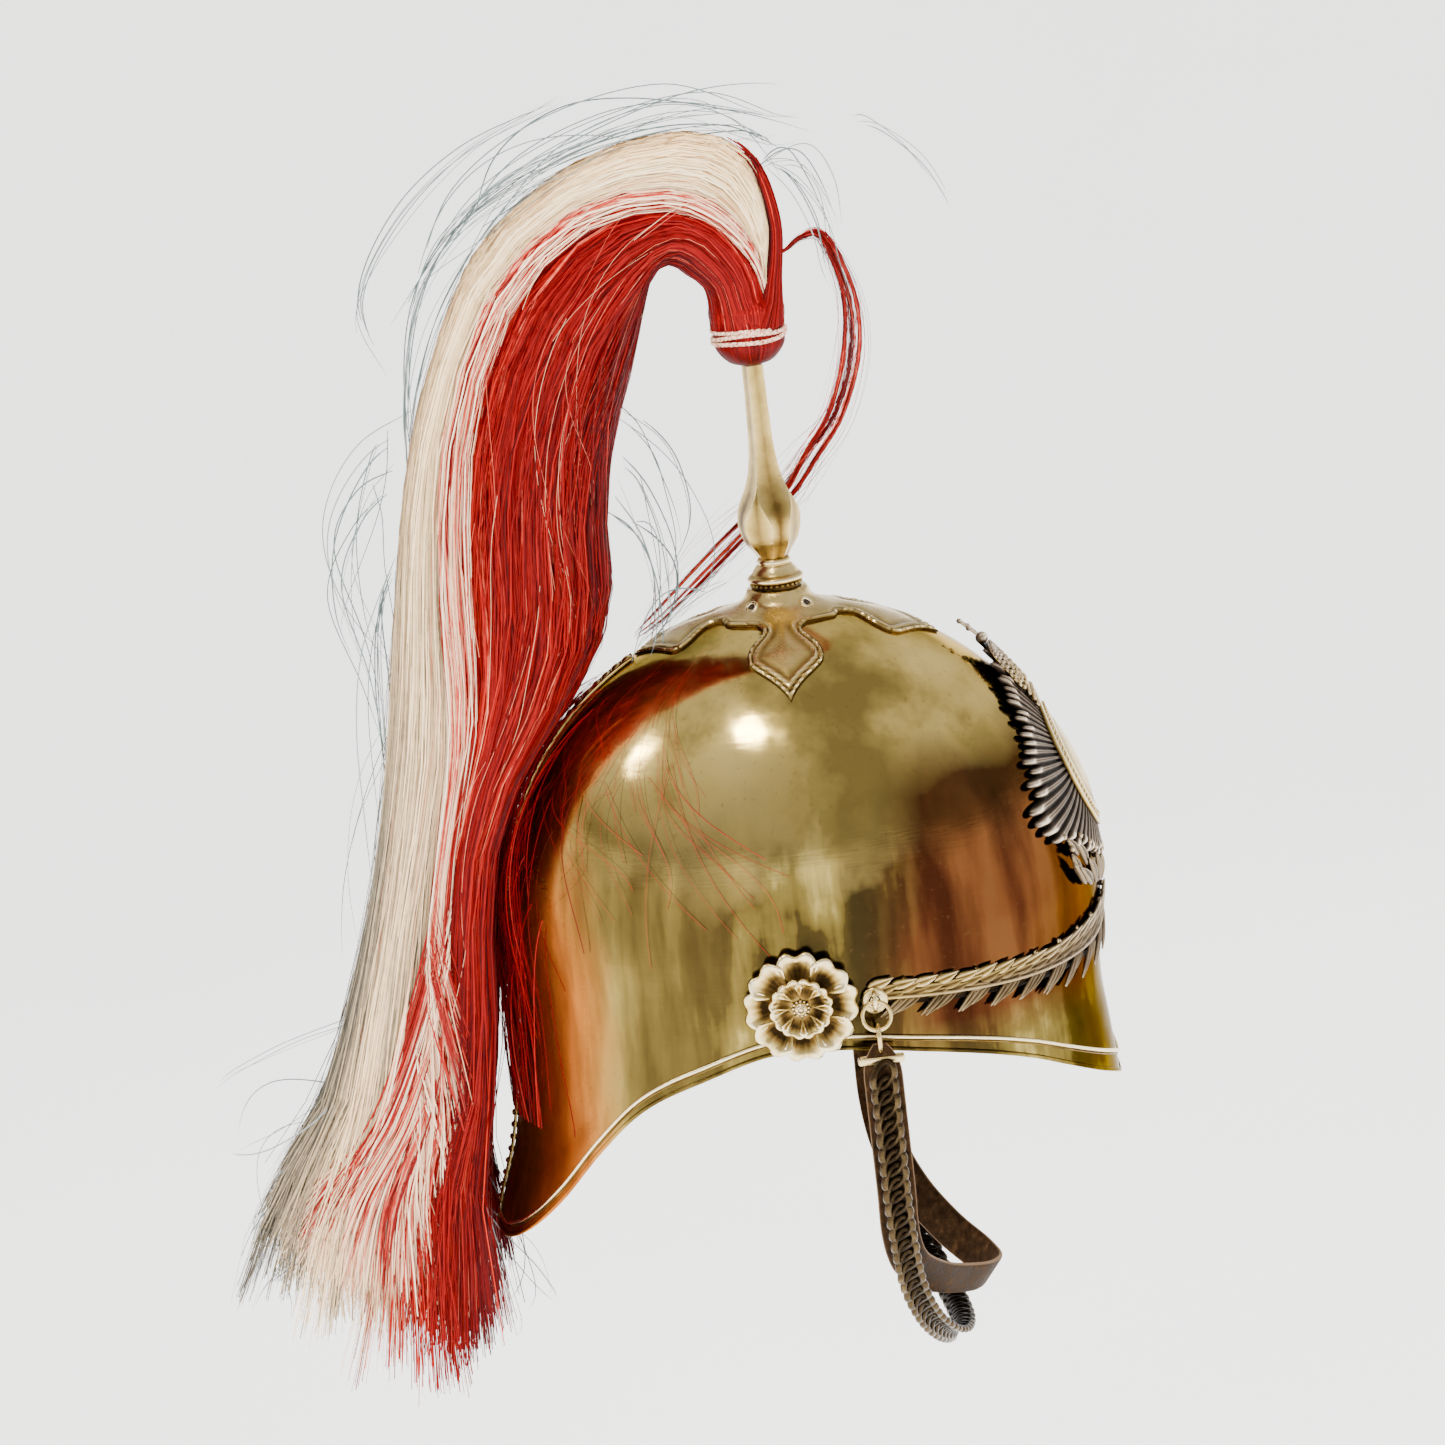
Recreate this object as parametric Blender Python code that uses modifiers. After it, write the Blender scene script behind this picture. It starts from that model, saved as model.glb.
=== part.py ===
"""Brass parade helmet with a spike, a falling horsehair plume, a rayed front plate and a chin chain.

Metres, +Z up. The helmet faces -Y and the wearer's right is -X. The origin is the centre of the head opening,
level with the lower edge at the ears and below the spike.
"""

import math

import bmesh
import bpy
import numpy as np
from mathutils import Vector

# Clearance between pieces that touch
GAP = 0.0003

# Skull: a dome over walls that end at the rim
SKULL_HALF_WIDTH = 0.101
SKULL_HALF_LENGTH = 0.12475
SKULL_SET_BACK = 0.00225
DOME_BASE = 0.040
DOME_RISE = 0.1264
SKULL_WALL = 0.0012
PEAK_DROP = 0.053
NECK_GUARD_DROP = 0.088
SKULL_COLUMNS = 40
DOME_ROWS = 7
WALL_ROWS = 7

# Rim wire
RIM_WIRE_RADIUS = 0.0009
RIM_BAND_FRONT = 0.0090
RIM_BAND_SIDE = 0.0055
RIM_WIRE_SIDES = 5

# Beaded strip down the back seam
STRIP_BELOW_LEAF = 0.0015
STRIP_TOP_WIDTH = 0.0085
STRIP_END_WIDTH = 0.0050
STRIP_HEIGHT = 0.0011
STRIP_BEAD_HEIGHT = 0.0026
STRIP_BEAD_PITCH = 0.0072
STRIP_LIFT = 0.00014

# Crown plate: four leaves round a low cap with vents
LEAF_REACH_FRONT = 0.0645
LEAF_REACH_SIDE = 0.0630
LEAF_HALF_WIDTH_FRONT = 0.0225
LEAF_HALF_WIDTH_SIDE = 0.0155
PLATE_CORE_RADIUS = 0.0270
PLATE_SEAT = 0.0006
PLATE_THICKNESS = 0.0012
PLATE_MOULDING = 0.0011
CAP_HEIGHT = 0.0058
VENT_REACH = 0.0152
VENT_RADIUS = 0.0013
VENT_RING_RADIUS = 0.0021
VENT_RING_WIRE = 0.0006
VENT_DEPTH = 0.0040

# Spike and the turned rings under it
COLLAR_HEIGHT = 0.0122
COLLAR_RADIUS = 0.0120
SPIKE_HEIGHT = 0.0815
SPIKE_BULB_HALF_WIDTH = 0.0130
SPIKE_TURN_DEGREES = 20.0

# Plume head and its cord
HEAD_HEIGHT = 0.0320
HEAD_RADIUS = 0.0175
CORD_RADIUS = 0.0010
CORD_TURNS = 3

# Plume: a section every step from the head to the cut ends
PLUME_RISE = 0.0660
PLUME_TAIL = 0.1428
PLUME_DEPTH = 0.0900
PLUME_HALF_WIDTH = 0.0500
PLUME_SIDES = 22
PLUME_LOCK_DEPTH = 0.10
PLUME_CUT_RAGGEDNESS = 0.0110

# Loose lock in front of the spike
STRAY_LOCK_RADIUS = 0.0042

# Front plate, its oval boss and the crown over it
RAY_PLATE_CENTRE_HEIGHT = 0.0880
RAY_PLATE_RADIUS = 0.0600
RAY_PLATE_SEAT = 0.0009
RAY_PLATE_SIDE_LIFT = 0.0020
RAY_PLATE_THICKNESS = 0.0007
RAY_RIDGE = 0.0010
RAY_COUNT = 32
BOSS_CENTRE_HEIGHT = 0.0860
BOSS_HALF_WIDTH = 0.0270
BOSS_HALF_HEIGHT = 0.0290
BOSS_DOME = 0.0016
CROWN_ABOVE_BOSS = 0.0030
CROWN_TALL = 0.0330
CROWN_HALF_WIDTH = 0.0150
CROWN_THICKNESS = 0.0016
CROWN_RELIEF = 0.0020
CROWN_STAND_OFF = 0.0135

# Leaf sprays from the front plate to the rosettes
SPRAY_FRONT_DEGREES = 3.0
SPRAY_BACK_DEGREES = 79.5
SPRAY_HALF_HEIGHT_FRONT = 0.0130
SPRAY_HALF_HEIGHT_BACK = 0.0085
SPRAY_CENTRE_HEIGHT = 0.0165
SPRAY_THICKNESS = 0.0010
SPRAY_LEAF_RIDGE = 0.0018
SPRAY_LEAVES = 13

# Rosettes at the temples
ROSETTE_DEGREES = 93.5
ROSETTE_HEIGHT = 0.0220
ROSETTE_RADIUS = 0.0230
ROSETTE_PETALS = 8
ROSETTE_THICKNESS = 0.0014
ROSETTE_HEART_RISE = 0.0060
ROSETTE_CUP = 0.5
KNOB_RADIUS = 0.0031

# Hooks, rings, chin strap and chin chain
HOOK_SET_FORWARD = 0.0200
HOOK_HEIGHT = 0.0200
HOOK_LOOP_RADIUS = 0.0037
HOOK_WIRE = 0.0009
LOWER_RING_RADIUS = 0.0055
RING_WIRE = 0.0009
STRAP_WIDTH = 0.0160
STRAP_THICKNESS = 0.0022
STRAP_HOLE_RADIUS = 0.0016
STRAP_HOLE_INSET = 0.0030
STRAP_STAND_OFF = 0.0065
STRAP_TOP_DROP = 0.0166
STRAP_DROP = 0.1379
STRAP_SWING = 0.0400
CHAIN_RADIUS = 0.0038
CHAIN_STAND_OFF = 0.0120
CHAIN_TOP_DROP = 0.0089
CHAIN_DROP = 0.1500
CHAIN_SWING = 0.0250
KEEPER_HEIGHT = 0.0030
KEEPER_WIRE = 0.0010
KEEPER_DROP = 0.0066

# Shares of SKULL_HALF_LENGTH and SKULL_HALF_WIDTH that the wall keeps on its way down to the rim
WALL_SECTIONS = (
    # depth, front, side, back
    (0.00, 1.000, 1.000, 1.000),
    (0.25, 0.984, 1.000, 1.005),
    (0.50, 0.974, 0.998, 1.036),
    (0.75, 0.990, 0.994, 1.083),
    (0.90, 1.000, 0.990, 1.135),
    (1.00, 1.005, 0.988, 1.165),
)

# Height of the lower edge round the helmet: shares of PEAK_DROP ahead of the ears
# and of NECK_GUARD_DROP behind them
RIM_SECTIONS = (
    # degrees from the front, peak share, neck guard share
    (0.0, -1.00, 0.00),
    (25.0, -0.71, 0.00),
    (37.0, -0.53, 0.00),
    (45.0, -0.40, 0.00),
    (70.0, -0.11, 0.00),
    (90.0, 0.02, 0.00),
    (100.0, 0.00, 0.01),
    (112.0, 0.00, -0.08),
    (128.0, 0.00, -0.27),
    (136.0, 0.00, -0.45),
    (146.0, 0.00, -0.70),
    (154.0, 0.00, -0.85),
    (167.0, 0.00, -0.99),
    (180.0, 0.00, -1.00),
)

# Half width of a crown plate leaf from its neck to its tip, and the height of its moulding along it
LEAF_SECTIONS = (
    # along, half width
    (0.00, 0.54),
    (0.14, 0.50),
    (0.28, 0.68),
    (0.42, 0.92),
    (0.54, 1.00),
    (0.68, 0.80),
    (0.82, 0.45),
    (0.92, 0.20),
    (1.00, 0.05),
)

# Cap over the middle of the crown plate: shares of PLATE_CORE_RADIUS and CAP_HEIGHT
CAP_SECTIONS = (
    # radius, height
    (0.00, 1.00),
    (0.45, 1.00),
    (0.49, 0.60),
    (0.56, 0.30),
    (0.68, 0.08),
    (1.00, 0.00),
)

# Rings of points in the cap: shares of PLATE_CORE_RADIUS
CAP_RINGS = (0.45, 0.52, 0.66, 1.00)

# Turned rings from the cap up to the spike's neck: shares of COLLAR_RADIUS and COLLAR_HEIGHT
COLLAR_SECTIONS = (
    # radius, height
    (0.50, 1.00),
    (0.50, 0.82),
    (0.66, 0.72),
    (0.78, 0.56),
    (0.90, 0.52),
    (1.00, 0.40),
    (1.00, 0.24),
    (0.88, 0.16),
    (0.88, 0.00),
)

# Spike: half widths of its upper and lower faces as shares of SPIKE_BULB_HALF_WIDTH
SPIKE_SECTIONS = (
    # height, upper faces, lower faces
    (0.00, 0.46, 0.46),
    (0.06, 0.72, 0.70),
    (0.14, 0.92, 0.84),
    (0.22, 0.94, 0.90),
    (0.30, 0.72, 0.88),
    (0.36, 0.50, 0.67),
    (0.43, 0.38, 0.52),
    (0.52, 0.31, 0.44),
    (0.75, 0.26, 0.37),
    (1.00, 0.24, 0.34),
)

# Plume head, from its crown down to the foot on the spike: shares of HEAD_RADIUS and HEAD_HEIGHT
HEAD_SECTIONS = (
    # radius, height
    (0.92, 1.00),
    (1.00, 0.78),
    (0.96, 0.60),
    (0.85, 0.52),
    (0.83, 0.34),
    (0.80, 0.24),
    (0.58, 0.10),
    (0.30, 0.00),
)

# Plume in the helmet's middle plane. Inner back is a share of the skull's length behind the spike,
# depth a share of PLUME_DEPTH. Heights up to 1 are shares of the plume's foot above the ears, what is
# over 1 a share of PLUME_RISE, and what is under 0 a share of PLUME_TAIL. The split is where red hair
# gives way to white.
PLUME_SECTIONS = (
    # inner back, inner height, depth, outer height, half width, split
    (0.121, 1.000, -0.347, 1.000, 0.30, 0.78),
    (0.176, 1.120, -0.446, 1.420, 0.32, 0.62),
    (0.230, 1.200, -0.413, 1.850, 0.36, 0.50),
    (0.293, 1.140, -0.193, 2.000, 0.42, 0.58),
    (0.344, 0.974, 0.248, 1.860, 0.50, 0.74),
    (0.410, 0.897, 0.623, 1.400, 0.58, 0.79),
    (0.488, 0.808, 0.810, 0.919, 0.64, 0.80),
    (0.535, 0.698, 0.912, 0.757, 0.68, 0.76),
    (0.555, 0.581, 0.984, 0.599, 0.71, 0.72),
    (0.687, 0.475, 0.873, 0.469, 0.74, 0.62),
    (0.914, 0.351, 0.639, 0.334, 0.77, 0.50),
    (1.035, 0.219, 0.579, 0.207, 0.80, 0.44),
    (1.066, 0.068, 0.705, 0.057, 0.85, 0.42),
    (1.117, -0.170, 0.810, -0.154, 0.90, 0.40),
    (1.215, -0.484, 0.898, -0.378, 0.96, 0.38),
    (1.252, -0.969, 1.000, -0.633, 1.00, 0.36),
)

# Loose lock: shares of the skull's half width across, of its length back, of the height of the spike
# and head above the dome, and of STRAY_LOCK_RADIUS
STRAY_LOCK_ROUTE = (
    # across, back, height, radius
    (-0.025, -0.145, 1.054, 0.60),
    (-0.010, -0.203, 1.142, 0.80),
    (0.010, -0.273, 1.127, 0.90),
    (0.039, -0.336, 0.952, 0.90),
    (0.088, -0.328, 0.763, 0.90),
    (0.138, -0.258, 0.568, 0.90),
    (0.182, -0.156, 0.435, 1.00),
    (0.221, -0.059, 0.316, 1.00),
    (0.241, 0.078, 0.220, 0.90),
    (0.231, 0.227, 0.105, 0.80),
    (0.206, 0.391, -0.024, 0.60),
    (0.187, 0.488, -0.087, 0.30),
)

# Outline of the rayed plate: radius as a share of RAY_PLATE_RADIUS
RAY_PLATE_OUTLINE = (
    # degrees from the top, radius
    (0.0, 0.84),
    (30.0, 0.76),
    (50.0, 0.72),
    (75.0, 0.80),
    (92.0, 0.94),
    (103.0, 1.06),
    (114.0, 0.96),
    (140.0, 0.78),
    (180.0, 0.70),
)

# How far the front plate stands off the skull above its middle, as a share of CROWN_STAND_OFF
STAND_OFF_SECTIONS = (
    # height as a share of the dome's top, stand-off
    (0.240, 0.00),
    (0.511, 0.00),
    (0.613, 0.02),
    (0.697, 0.12),
    (0.769, 0.25),
    (0.847, 0.50),
    (0.913, 0.85),
)

# Crown outline, and how high its relief stands: shares of CROWN_HALF_WIDTH and CROWN_RELIEF
CROWN_SECTIONS = (
    # up, half width, relief
    (0.00, 0.80, 0.60),
    (0.12, 0.84, 0.90),
    (0.20, 0.80, 0.40),
    (0.40, 1.00, 0.80),
    (0.58, 0.96, 1.00),
    (0.72, 0.70, 0.90),
    (0.80, 0.30, 0.60),
    (0.88, 0.32, 1.00),
    (1.00, 0.10, 0.40),
)

# Centre line of the sprays above the ears, and their half height from back to front
SPRAY_SECTIONS = (
    # along from the rosette, centre share of SPRAY_CENTRE_HEIGHT, width from back to front
    (0.00, 1.24, 0.00),
    (0.20, 1.05, 0.05),
    (0.45, 0.90, 0.25),
    (0.65, 0.92, 0.70),
    (0.85, 1.10, 1.00),
    (1.00, 1.45, 0.90),
)

# Chin strap from the ring to the middle under the chin. Across is a share of the way out to its top,
# forward a share of STRAP_SWING ahead of the hook, and down a share of STRAP_DROP.
STRAP_ROUTE = (
    # across, forward, down
    (1.000, 0.0000, 0.000),
    (1.000, 0.0025, 0.155),
    (0.988, 0.0075, 0.322),
    (0.949, 0.0125, 0.474),
    (0.879, 0.0125, 0.612),
    (0.753, 0.0750, 0.735),
    (0.558, 0.2750, 0.844),
    (0.307, 0.6250, 0.938),
    (0.112, 0.9250, 0.989),
    (0.000, 1.0000, 1.000),
)

# Chin chain over the strap, then below it under the chin, in shares of its own swing and drop
CHAIN_ROUTE = (
    # across, forward, down
    (1.000, 0.000, 0.000),
    (0.999, 0.004, 0.110),
    (0.988, 0.012, 0.250),
    (0.950, 0.020, 0.390),
    (0.885, 0.060, 0.530),
    (0.779, 0.140, 0.670),
    (0.619, 0.360, 0.810),
    (0.407, 0.680, 0.923),
    (0.195, 0.920, 0.983),
    (0.000, 1.000, 1.000),
)

COLLECTION_NAME = "parade_helmet"
CUTTERS_NAME = "cutters"


def clear_scene():
    for obj in list(bpy.data.objects):
        bpy.data.objects.remove(obj, do_unlink=True)


def new_collection(name):
    collection = bpy.data.collections.new(name)
    bpy.context.scene.collection.children.link(collection)
    return collection


def finish(name, colour, roughness, metallic):
    """A plain material for one kind of piece."""
    made = bpy.data.materials.new(name)
    made.use_nodes = True
    shader = made.node_tree.nodes["Principled BSDF"]
    shader.inputs["Base Color"].default_value = (*colour, 1.0)
    shader.inputs["Roughness"].default_value = roughness
    shader.inputs["Metallic"].default_value = metallic
    return made


def smooth_between(rows, place, column=1):
    """Reads a table by its first column, on a smooth curve through the rows."""
    places = np.array([row[0] for row in rows])
    values = np.array([row[column] for row in rows])
    place = min(max(place, places[0]), places[-1])
    slopes = np.gradient(values, places)
    i = min(int(np.searchsorted(places, place, side="right")) - 1, len(rows) - 2)
    step = places[i + 1] - places[i]
    t = (place - places[i]) / step
    start = values[i] * (2 * t**3 - 3 * t**2 + 1) + slopes[i] * step * (t**3 - 2 * t**2 + t)
    end = values[i + 1] * (3 * t**2 - 2 * t**3) + slopes[i + 1] * step * (t**3 - t**2)
    return float(start + end)


def smooth_route(points, steps):
    """Points at even steps along a smooth curve through the given ones."""
    points = np.array(points, dtype=float)
    lengths = np.concatenate([[0.0], np.cumsum(np.linalg.norm(np.diff(points[:, :3], axis=0), axis=1))])
    rows = [(length, *point) for length, point in zip(lengths, points)]
    columns = range(1, points.shape[1] + 1)
    return [
        [smooth_between(rows, place, column) for column in columns]
        for place in np.linspace(0.0, lengths[-1], steps)
    ]


def rim_height(angle):
    """Height of the lower edge at an angle round from the front, in radians."""
    degrees = abs((math.degrees(angle) + 180.0) % 360.0 - 180.0)
    peak = smooth_between(RIM_SECTIONS, degrees, 1) * PEAK_DROP
    guard = smooth_between(RIM_SECTIONS, degrees, 2) * NECK_GUARD_DROP
    return peak + guard


def skull_share(angle, height):
    """How much of the skull's full length and width is left at a height."""
    if height >= DOME_BASE:
        return math.sqrt(max(0.0, 1.0 - ((height - DOME_BASE) / DOME_RISE) ** 2))
    row = WALL_ROWS * min((DOME_BASE - height) / (DOME_BASE - rim_height(angle)), 0.9999)
    above = wall_share(angle, math.floor(row) / WALL_ROWS)
    below = wall_share(angle, math.floor(row + 1.0) / WALL_ROWS)
    return above + (below - above) * (row % 1.0)


def wall_share(angle, depth):
    """The share kept at one row of the wall. Between its rows the wall is straight from top to bottom."""
    ends = 3 if math.cos(angle) < 0.0 else 1
    lengthwise = smooth_between(WALL_SECTIONS, depth, ends)
    sideways = smooth_between(WALL_SECTIONS, depth, 2)
    return lengthwise * math.cos(angle) ** 2 + sideways * math.sin(angle) ** 2


def skull_point(angle, height):
    """A point of the skull's outer face. Angles run from the front towards the wearer's right."""
    share = skull_share(angle, height)
    return Vector(
        (
            -SKULL_HALF_WIDTH * share * math.sin(angle),
            SKULL_SET_BACK - SKULL_HALF_LENGTH * share * math.cos(angle),
            height,
        )
    )


def skull_normal(angle, height):
    """The direction away from the skull at a point of its wall or dome."""
    step = 0.002
    round_it = skull_point(angle + step, height) - skull_point(angle - step, height)
    up_it = skull_point(angle, height + step * DOME_RISE) - skull_point(angle, height - step * DOME_RISE)
    return up_it.cross(round_it).normalized()


def over_skull(angle, height, proud):
    return skull_point(angle, height) + skull_normal(angle, height) * proud


def dome_normal(point):
    return Vector(
        (
            point.x / SKULL_HALF_WIDTH**2,
            (point.y - SKULL_SET_BACK) / SKULL_HALF_LENGTH**2,
            (point.z - DOME_BASE) / DOME_RISE**2,
        )
    ).normalized()


def over_dome(x, y, proud):
    """A point above the dome, seen from above at x, y."""
    inside = 1.0 - (x / SKULL_HALF_WIDTH) ** 2 - ((y - SKULL_SET_BACK) / SKULL_HALF_LENGTH) ** 2
    point = Vector((x, y, DOME_BASE + DOME_RISE * math.sqrt(inside)))
    return point + dome_normal(point) * proud


def before_dome(x, height, proud):
    """A point ahead of the front of the skull at a distance across and a height, moved forward."""
    up = (height - DOME_BASE) / DOME_RISE
    inside = 1.0 - (x / SKULL_HALF_WIDTH) ** 2 - up**2
    return Vector((x, SKULL_SET_BACK - SKULL_HALF_LENGTH * math.sqrt(inside) - proud, height))


def mesh_object(name, points, faces, surface, collection, smooth_degrees=40.0):
    mesh = bpy.data.meshes.new(name)
    mesh.from_pydata([tuple(point) for point in points], [], faces)
    mesh.validate()
    mesh.materials.append(surface)
    mesh.shade_smooth()
    mesh.set_sharp_from_angle(angle=math.radians(smooth_degrees))
    obj = bpy.data.objects.new(name, mesh)
    collection.objects.link(obj)
    return obj


def relief(name, low, high, faces, surface, collection, low_faces=None):
    """A solid between two sheets, closed along their edges. The low sheet may have fewer faces."""
    count = len(low)
    used = {}
    for face in faces:
        for start, end in zip(face, face[1:] + face[:1]):
            used[(start, end)] = used.get((start, end), 0) + 1
    edges = [(start, end) for start, end in used if (end, start) not in used]
    solid = [tuple(index + count for index in face) for face in faces]
    solid += [tuple(reversed(face)) for face in low_faces or faces]
    solid += [(start, end, end + count, start + count) for start, end in edges]
    obj = mesh_object(name, list(low) + list(high), solid, surface, collection)
    outwards(obj)
    return obj


def grid_faces(rows, columns, first=0):
    """Quads of a sheet with rows by columns of points, counter-clockwise seen from above it."""
    faces = []
    for i in range(rows - 1):
        for j in range(columns - 1):
            a = first + i * columns + j
            faces.append((a, a + 1, a + columns + 1, a + columns))
    return faces


def ring_faces(rings, around):
    """Faces of a round sheet: a fan about its first point, then quads between the rings of these numbers."""
    first = 1 + rings[0] * around
    faces = [(0, first + j, first + (j + 1) % around) for j in range(around)]
    for inner, outer in zip(rings, rings[1:]):
        for j in range(around):
            following = (j + 1) % around
            a = 1 + inner * around
            b = 1 + outer * around
            faces.append((a + j, b + j, b + following, a + following))
    return faces


def loft(name, sections, surface, collection, closed=False):
    """A solid through sections of equal counts of points, with flat ends unless it closes on itself."""
    around = len(sections[0])
    count = len(sections)
    faces = []
    for i in range(count if closed else count - 1):
        for j in range(around):
            a = i * around + j
            b = i * around + (j + 1) % around
            c = (i + 1) % count * around + j
            d = (i + 1) % count * around + (j + 1) % around
            faces.append((a, b, d, c))
    if not closed:
        faces.append(tuple(reversed(range(around))))
        faces.append(tuple(range((count - 1) * around, count * around)))
    points = [point for section in sections for point in section]
    obj = mesh_object(name, points, faces, surface, collection)
    outwards(obj)
    return obj


def outwards(obj):
    """Drops points that no face uses and turns every face outwards."""
    cage = bmesh.new()
    cage.from_mesh(obj.data)
    spare = [point for point in cage.verts if not point.link_faces]
    bmesh.ops.delete(cage, geom=spare, context="VERTS")
    bmesh.ops.recalc_face_normals(cage, faces=cage.faces)
    cage.to_mesh(obj.data)
    cage.free()


def turned(name, sections, radius, height, foot, steps, surface, collection):
    """A solid turned about the spike's axis from a table that runs from its top to its foot."""
    top_radius = sections[0][0] * radius
    profile = [(0.0, foot + sections[0][1] * height)]
    profile += [(share * radius, foot + up * height) for share, up in sections]
    profile.append((0.0, foot + sections[-1][1] * height))
    mesh = bpy.data.meshes.new(name)
    edges = [(i, i + 1) for i in range(len(profile) - 1)]
    mesh.from_pydata([(x, 0.0, z) for x, z in profile], edges, [])
    mesh.materials.append(surface)
    obj = bpy.data.objects.new(name, mesh)
    collection.objects.link(obj)
    screw = obj.modifiers.new("turn", "SCREW")
    screw.steps = steps
    screw.render_steps = steps
    screw.use_merge_vertices = True
    screw.merge_threshold = top_radius * 0.001
    screw.use_smooth_shade = True
    return obj


def wire(name, points, radius, surface, collection, side_steps=0):
    """A round wire along the points, with four sides and two more for each step."""
    curve = bpy.data.curves.new(name, "CURVE")
    curve.dimensions = "3D"
    curve.bevel_depth = radius
    curve.bevel_resolution = side_steps
    curve.use_fill_caps = True
    spline = curve.splines.new("POLY")
    spline.points.add(len(points) - 1)
    for place, point in zip(spline.points, points):
        place.co = (*point, 1.0)
    curve.materials.append(surface)
    obj = bpy.data.objects.new(name, curve)
    collection.objects.link(obj)
    return obj


def ring(name, centre, axis, radius, thickness, surface, collection, around=10, sides=4):
    """A round ring of wire about an axis."""
    bpy.ops.mesh.primitive_torus_add(
        major_radius=radius, minor_radius=thickness, major_segments=around, minor_segments=sides
    )
    obj = bpy.context.object
    for holder in list(obj.users_collection):
        holder.objects.unlink(obj)
    obj.name = name
    obj.data.name = name
    obj.location = centre
    obj.rotation_euler = Vector(axis).to_track_quat("Z", "Y").to_euler()
    obj.data.materials.append(surface)
    obj.data.shade_smooth()
    collection.objects.link(obj)
    return obj


def rod(name, start, axis, radius, length, collection, around=12):
    """A round cutter whose middle is at a point."""
    bpy.ops.mesh.primitive_cylinder_add(vertices=around, radius=radius, depth=length)
    obj = bpy.context.object
    for holder in list(obj.users_collection):
        holder.objects.unlink(obj)
    obj.name = name
    obj.location = start
    obj.rotation_euler = Vector(axis).to_track_quat("Z", "Y").to_euler()
    obj.hide_render = True
    obj.display_type = "WIRE"
    collection.objects.link(obj)
    return obj


def combine(obj, other, operation):
    change = obj.modifiers.new(f"{operation.lower()} {other.name}", "BOOLEAN")
    change.operation = operation
    change.solver = "EXACT"
    change.object = other


def build_skull(surface, collection):
    """Dome, walls, peak and neck guard as one sheet, thickened inwards."""
    points = [Vector((0.0, SKULL_SET_BACK, DOME_BASE + DOME_RISE))]
    angles = [2.0 * math.pi * j / SKULL_COLUMNS for j in range(SKULL_COLUMNS)]
    for i in range(1, DOME_ROWS + 1):
        height = DOME_BASE + DOME_RISE * math.cos(math.pi / 2.0 * i / DOME_ROWS)
        points += [skull_point(angle, height) for angle in angles]
    for i in range(1, WALL_ROWS + 1):
        for angle in angles:
            height = DOME_BASE + (rim_height(angle) - DOME_BASE) * i / WALL_ROWS
            points.append(skull_point(angle, height))
    faces = [tuple(reversed(face)) for face in ring_faces(range(DOME_ROWS + WALL_ROWS), SKULL_COLUMNS)]
    obj = mesh_object("skull", points, faces, surface, collection)
    sheet_up = obj.data.polygons[0].normal.z
    wall = obj.modifiers.new("wall", "SOLIDIFY")
    wall.thickness = SKULL_WALL
    wall.offset = -1.0 if sheet_up > 0.0 else 1.0
    wall.use_even_offset = True
    if sheet_up < 0.0:
        obj.data.flip_normals()
        wall.offset = -1.0
    return obj


def rim_wire_height(angle):
    ahead = max(0.0, math.cos(angle)) ** 2
    return rim_height(angle) + RIM_BAND_SIDE + (RIM_BAND_FRONT - RIM_BAND_SIDE) * ahead


def build_rim_beading(surface, collection):
    """The wire round the shell, laid on the columns of the skull."""
    count = SKULL_COLUMNS
    sections = []
    for i in range(count):
        angle = 2.0 * math.pi * i / count
        normal = skull_normal(angle, rim_wire_height(angle))
        ahead = over_skull(angle + 0.01, rim_wire_height(angle + 0.01), 0.0)
        behind = over_skull(angle - 0.01, rim_wire_height(angle - 0.01), 0.0)
        side = normal.cross((ahead - behind).normalized())
        centre = over_skull(angle, rim_wire_height(angle), GAP + RIM_WIRE_RADIUS)
        turns = [2.0 * math.pi * (j + 0.5) / RIM_WIRE_SIDES for j in range(RIM_WIRE_SIDES)]
        sections.append(
            [centre + (normal * math.cos(t) + side * math.sin(t)) * RIM_WIRE_RADIUS for t in turns]
        )
    return loft("rim_beading", sections, surface, collection, closed=True)


def strip_start():
    """Where the strip begins below the rear leaf, as an angle down from the dome's top."""
    return math.asin((LEAF_REACH_FRONT + STRIP_BELOW_LEAF - SKULL_SET_BACK) / SKULL_HALF_LENGTH)


def back_seam(share):
    """A place on the back seam, from the crown plate down to the rim wire, as an angle and a height."""
    start = strip_start()
    dome_length = (math.pi / 2.0 - start) * DOME_RISE
    end_height = rim_wire_height(math.pi) + RIM_WIRE_RADIUS + GAP * 2.0
    wall_length = DOME_BASE - end_height
    travelled = share * (dome_length + wall_length)
    if travelled < dome_length:
        return DOME_BASE + DOME_RISE * math.cos(start + travelled / DOME_RISE)
    return DOME_BASE - (travelled - dome_length)


def build_back_strip(surface, collection):
    start = strip_start()
    length = (math.pi / 2.0 - start) * DOME_RISE + DOME_BASE - rim_wire_height(math.pi)
    beads = round(length / STRIP_BEAD_PITCH)
    sections = []
    for i in range(beads * 2 + 1):
        share = i / (beads * 2)
        height = back_seam(share)
        half = (STRIP_TOP_WIDTH + (STRIP_END_WIDTH - STRIP_TOP_WIDTH) * share) / 2.0
        rise = STRIP_BEAD_HEIGHT if i % 2 else STRIP_HEIGHT
        crest = half * (0.55 if i % 2 else 0.35)
        middle = skull_point(math.pi, height)
        normal = skull_normal(math.pi, height)
        across = Vector((1.0, 0.0, 0.0))
        corners = ((-half, 0.0), (-crest, rise), (crest, rise), (half, 0.0))
        sections.append([middle + across * x + normal * (GAP + STRIP_LIFT + up) for x, up in corners])
    return loft("back_strip", sections, surface, collection)


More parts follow.
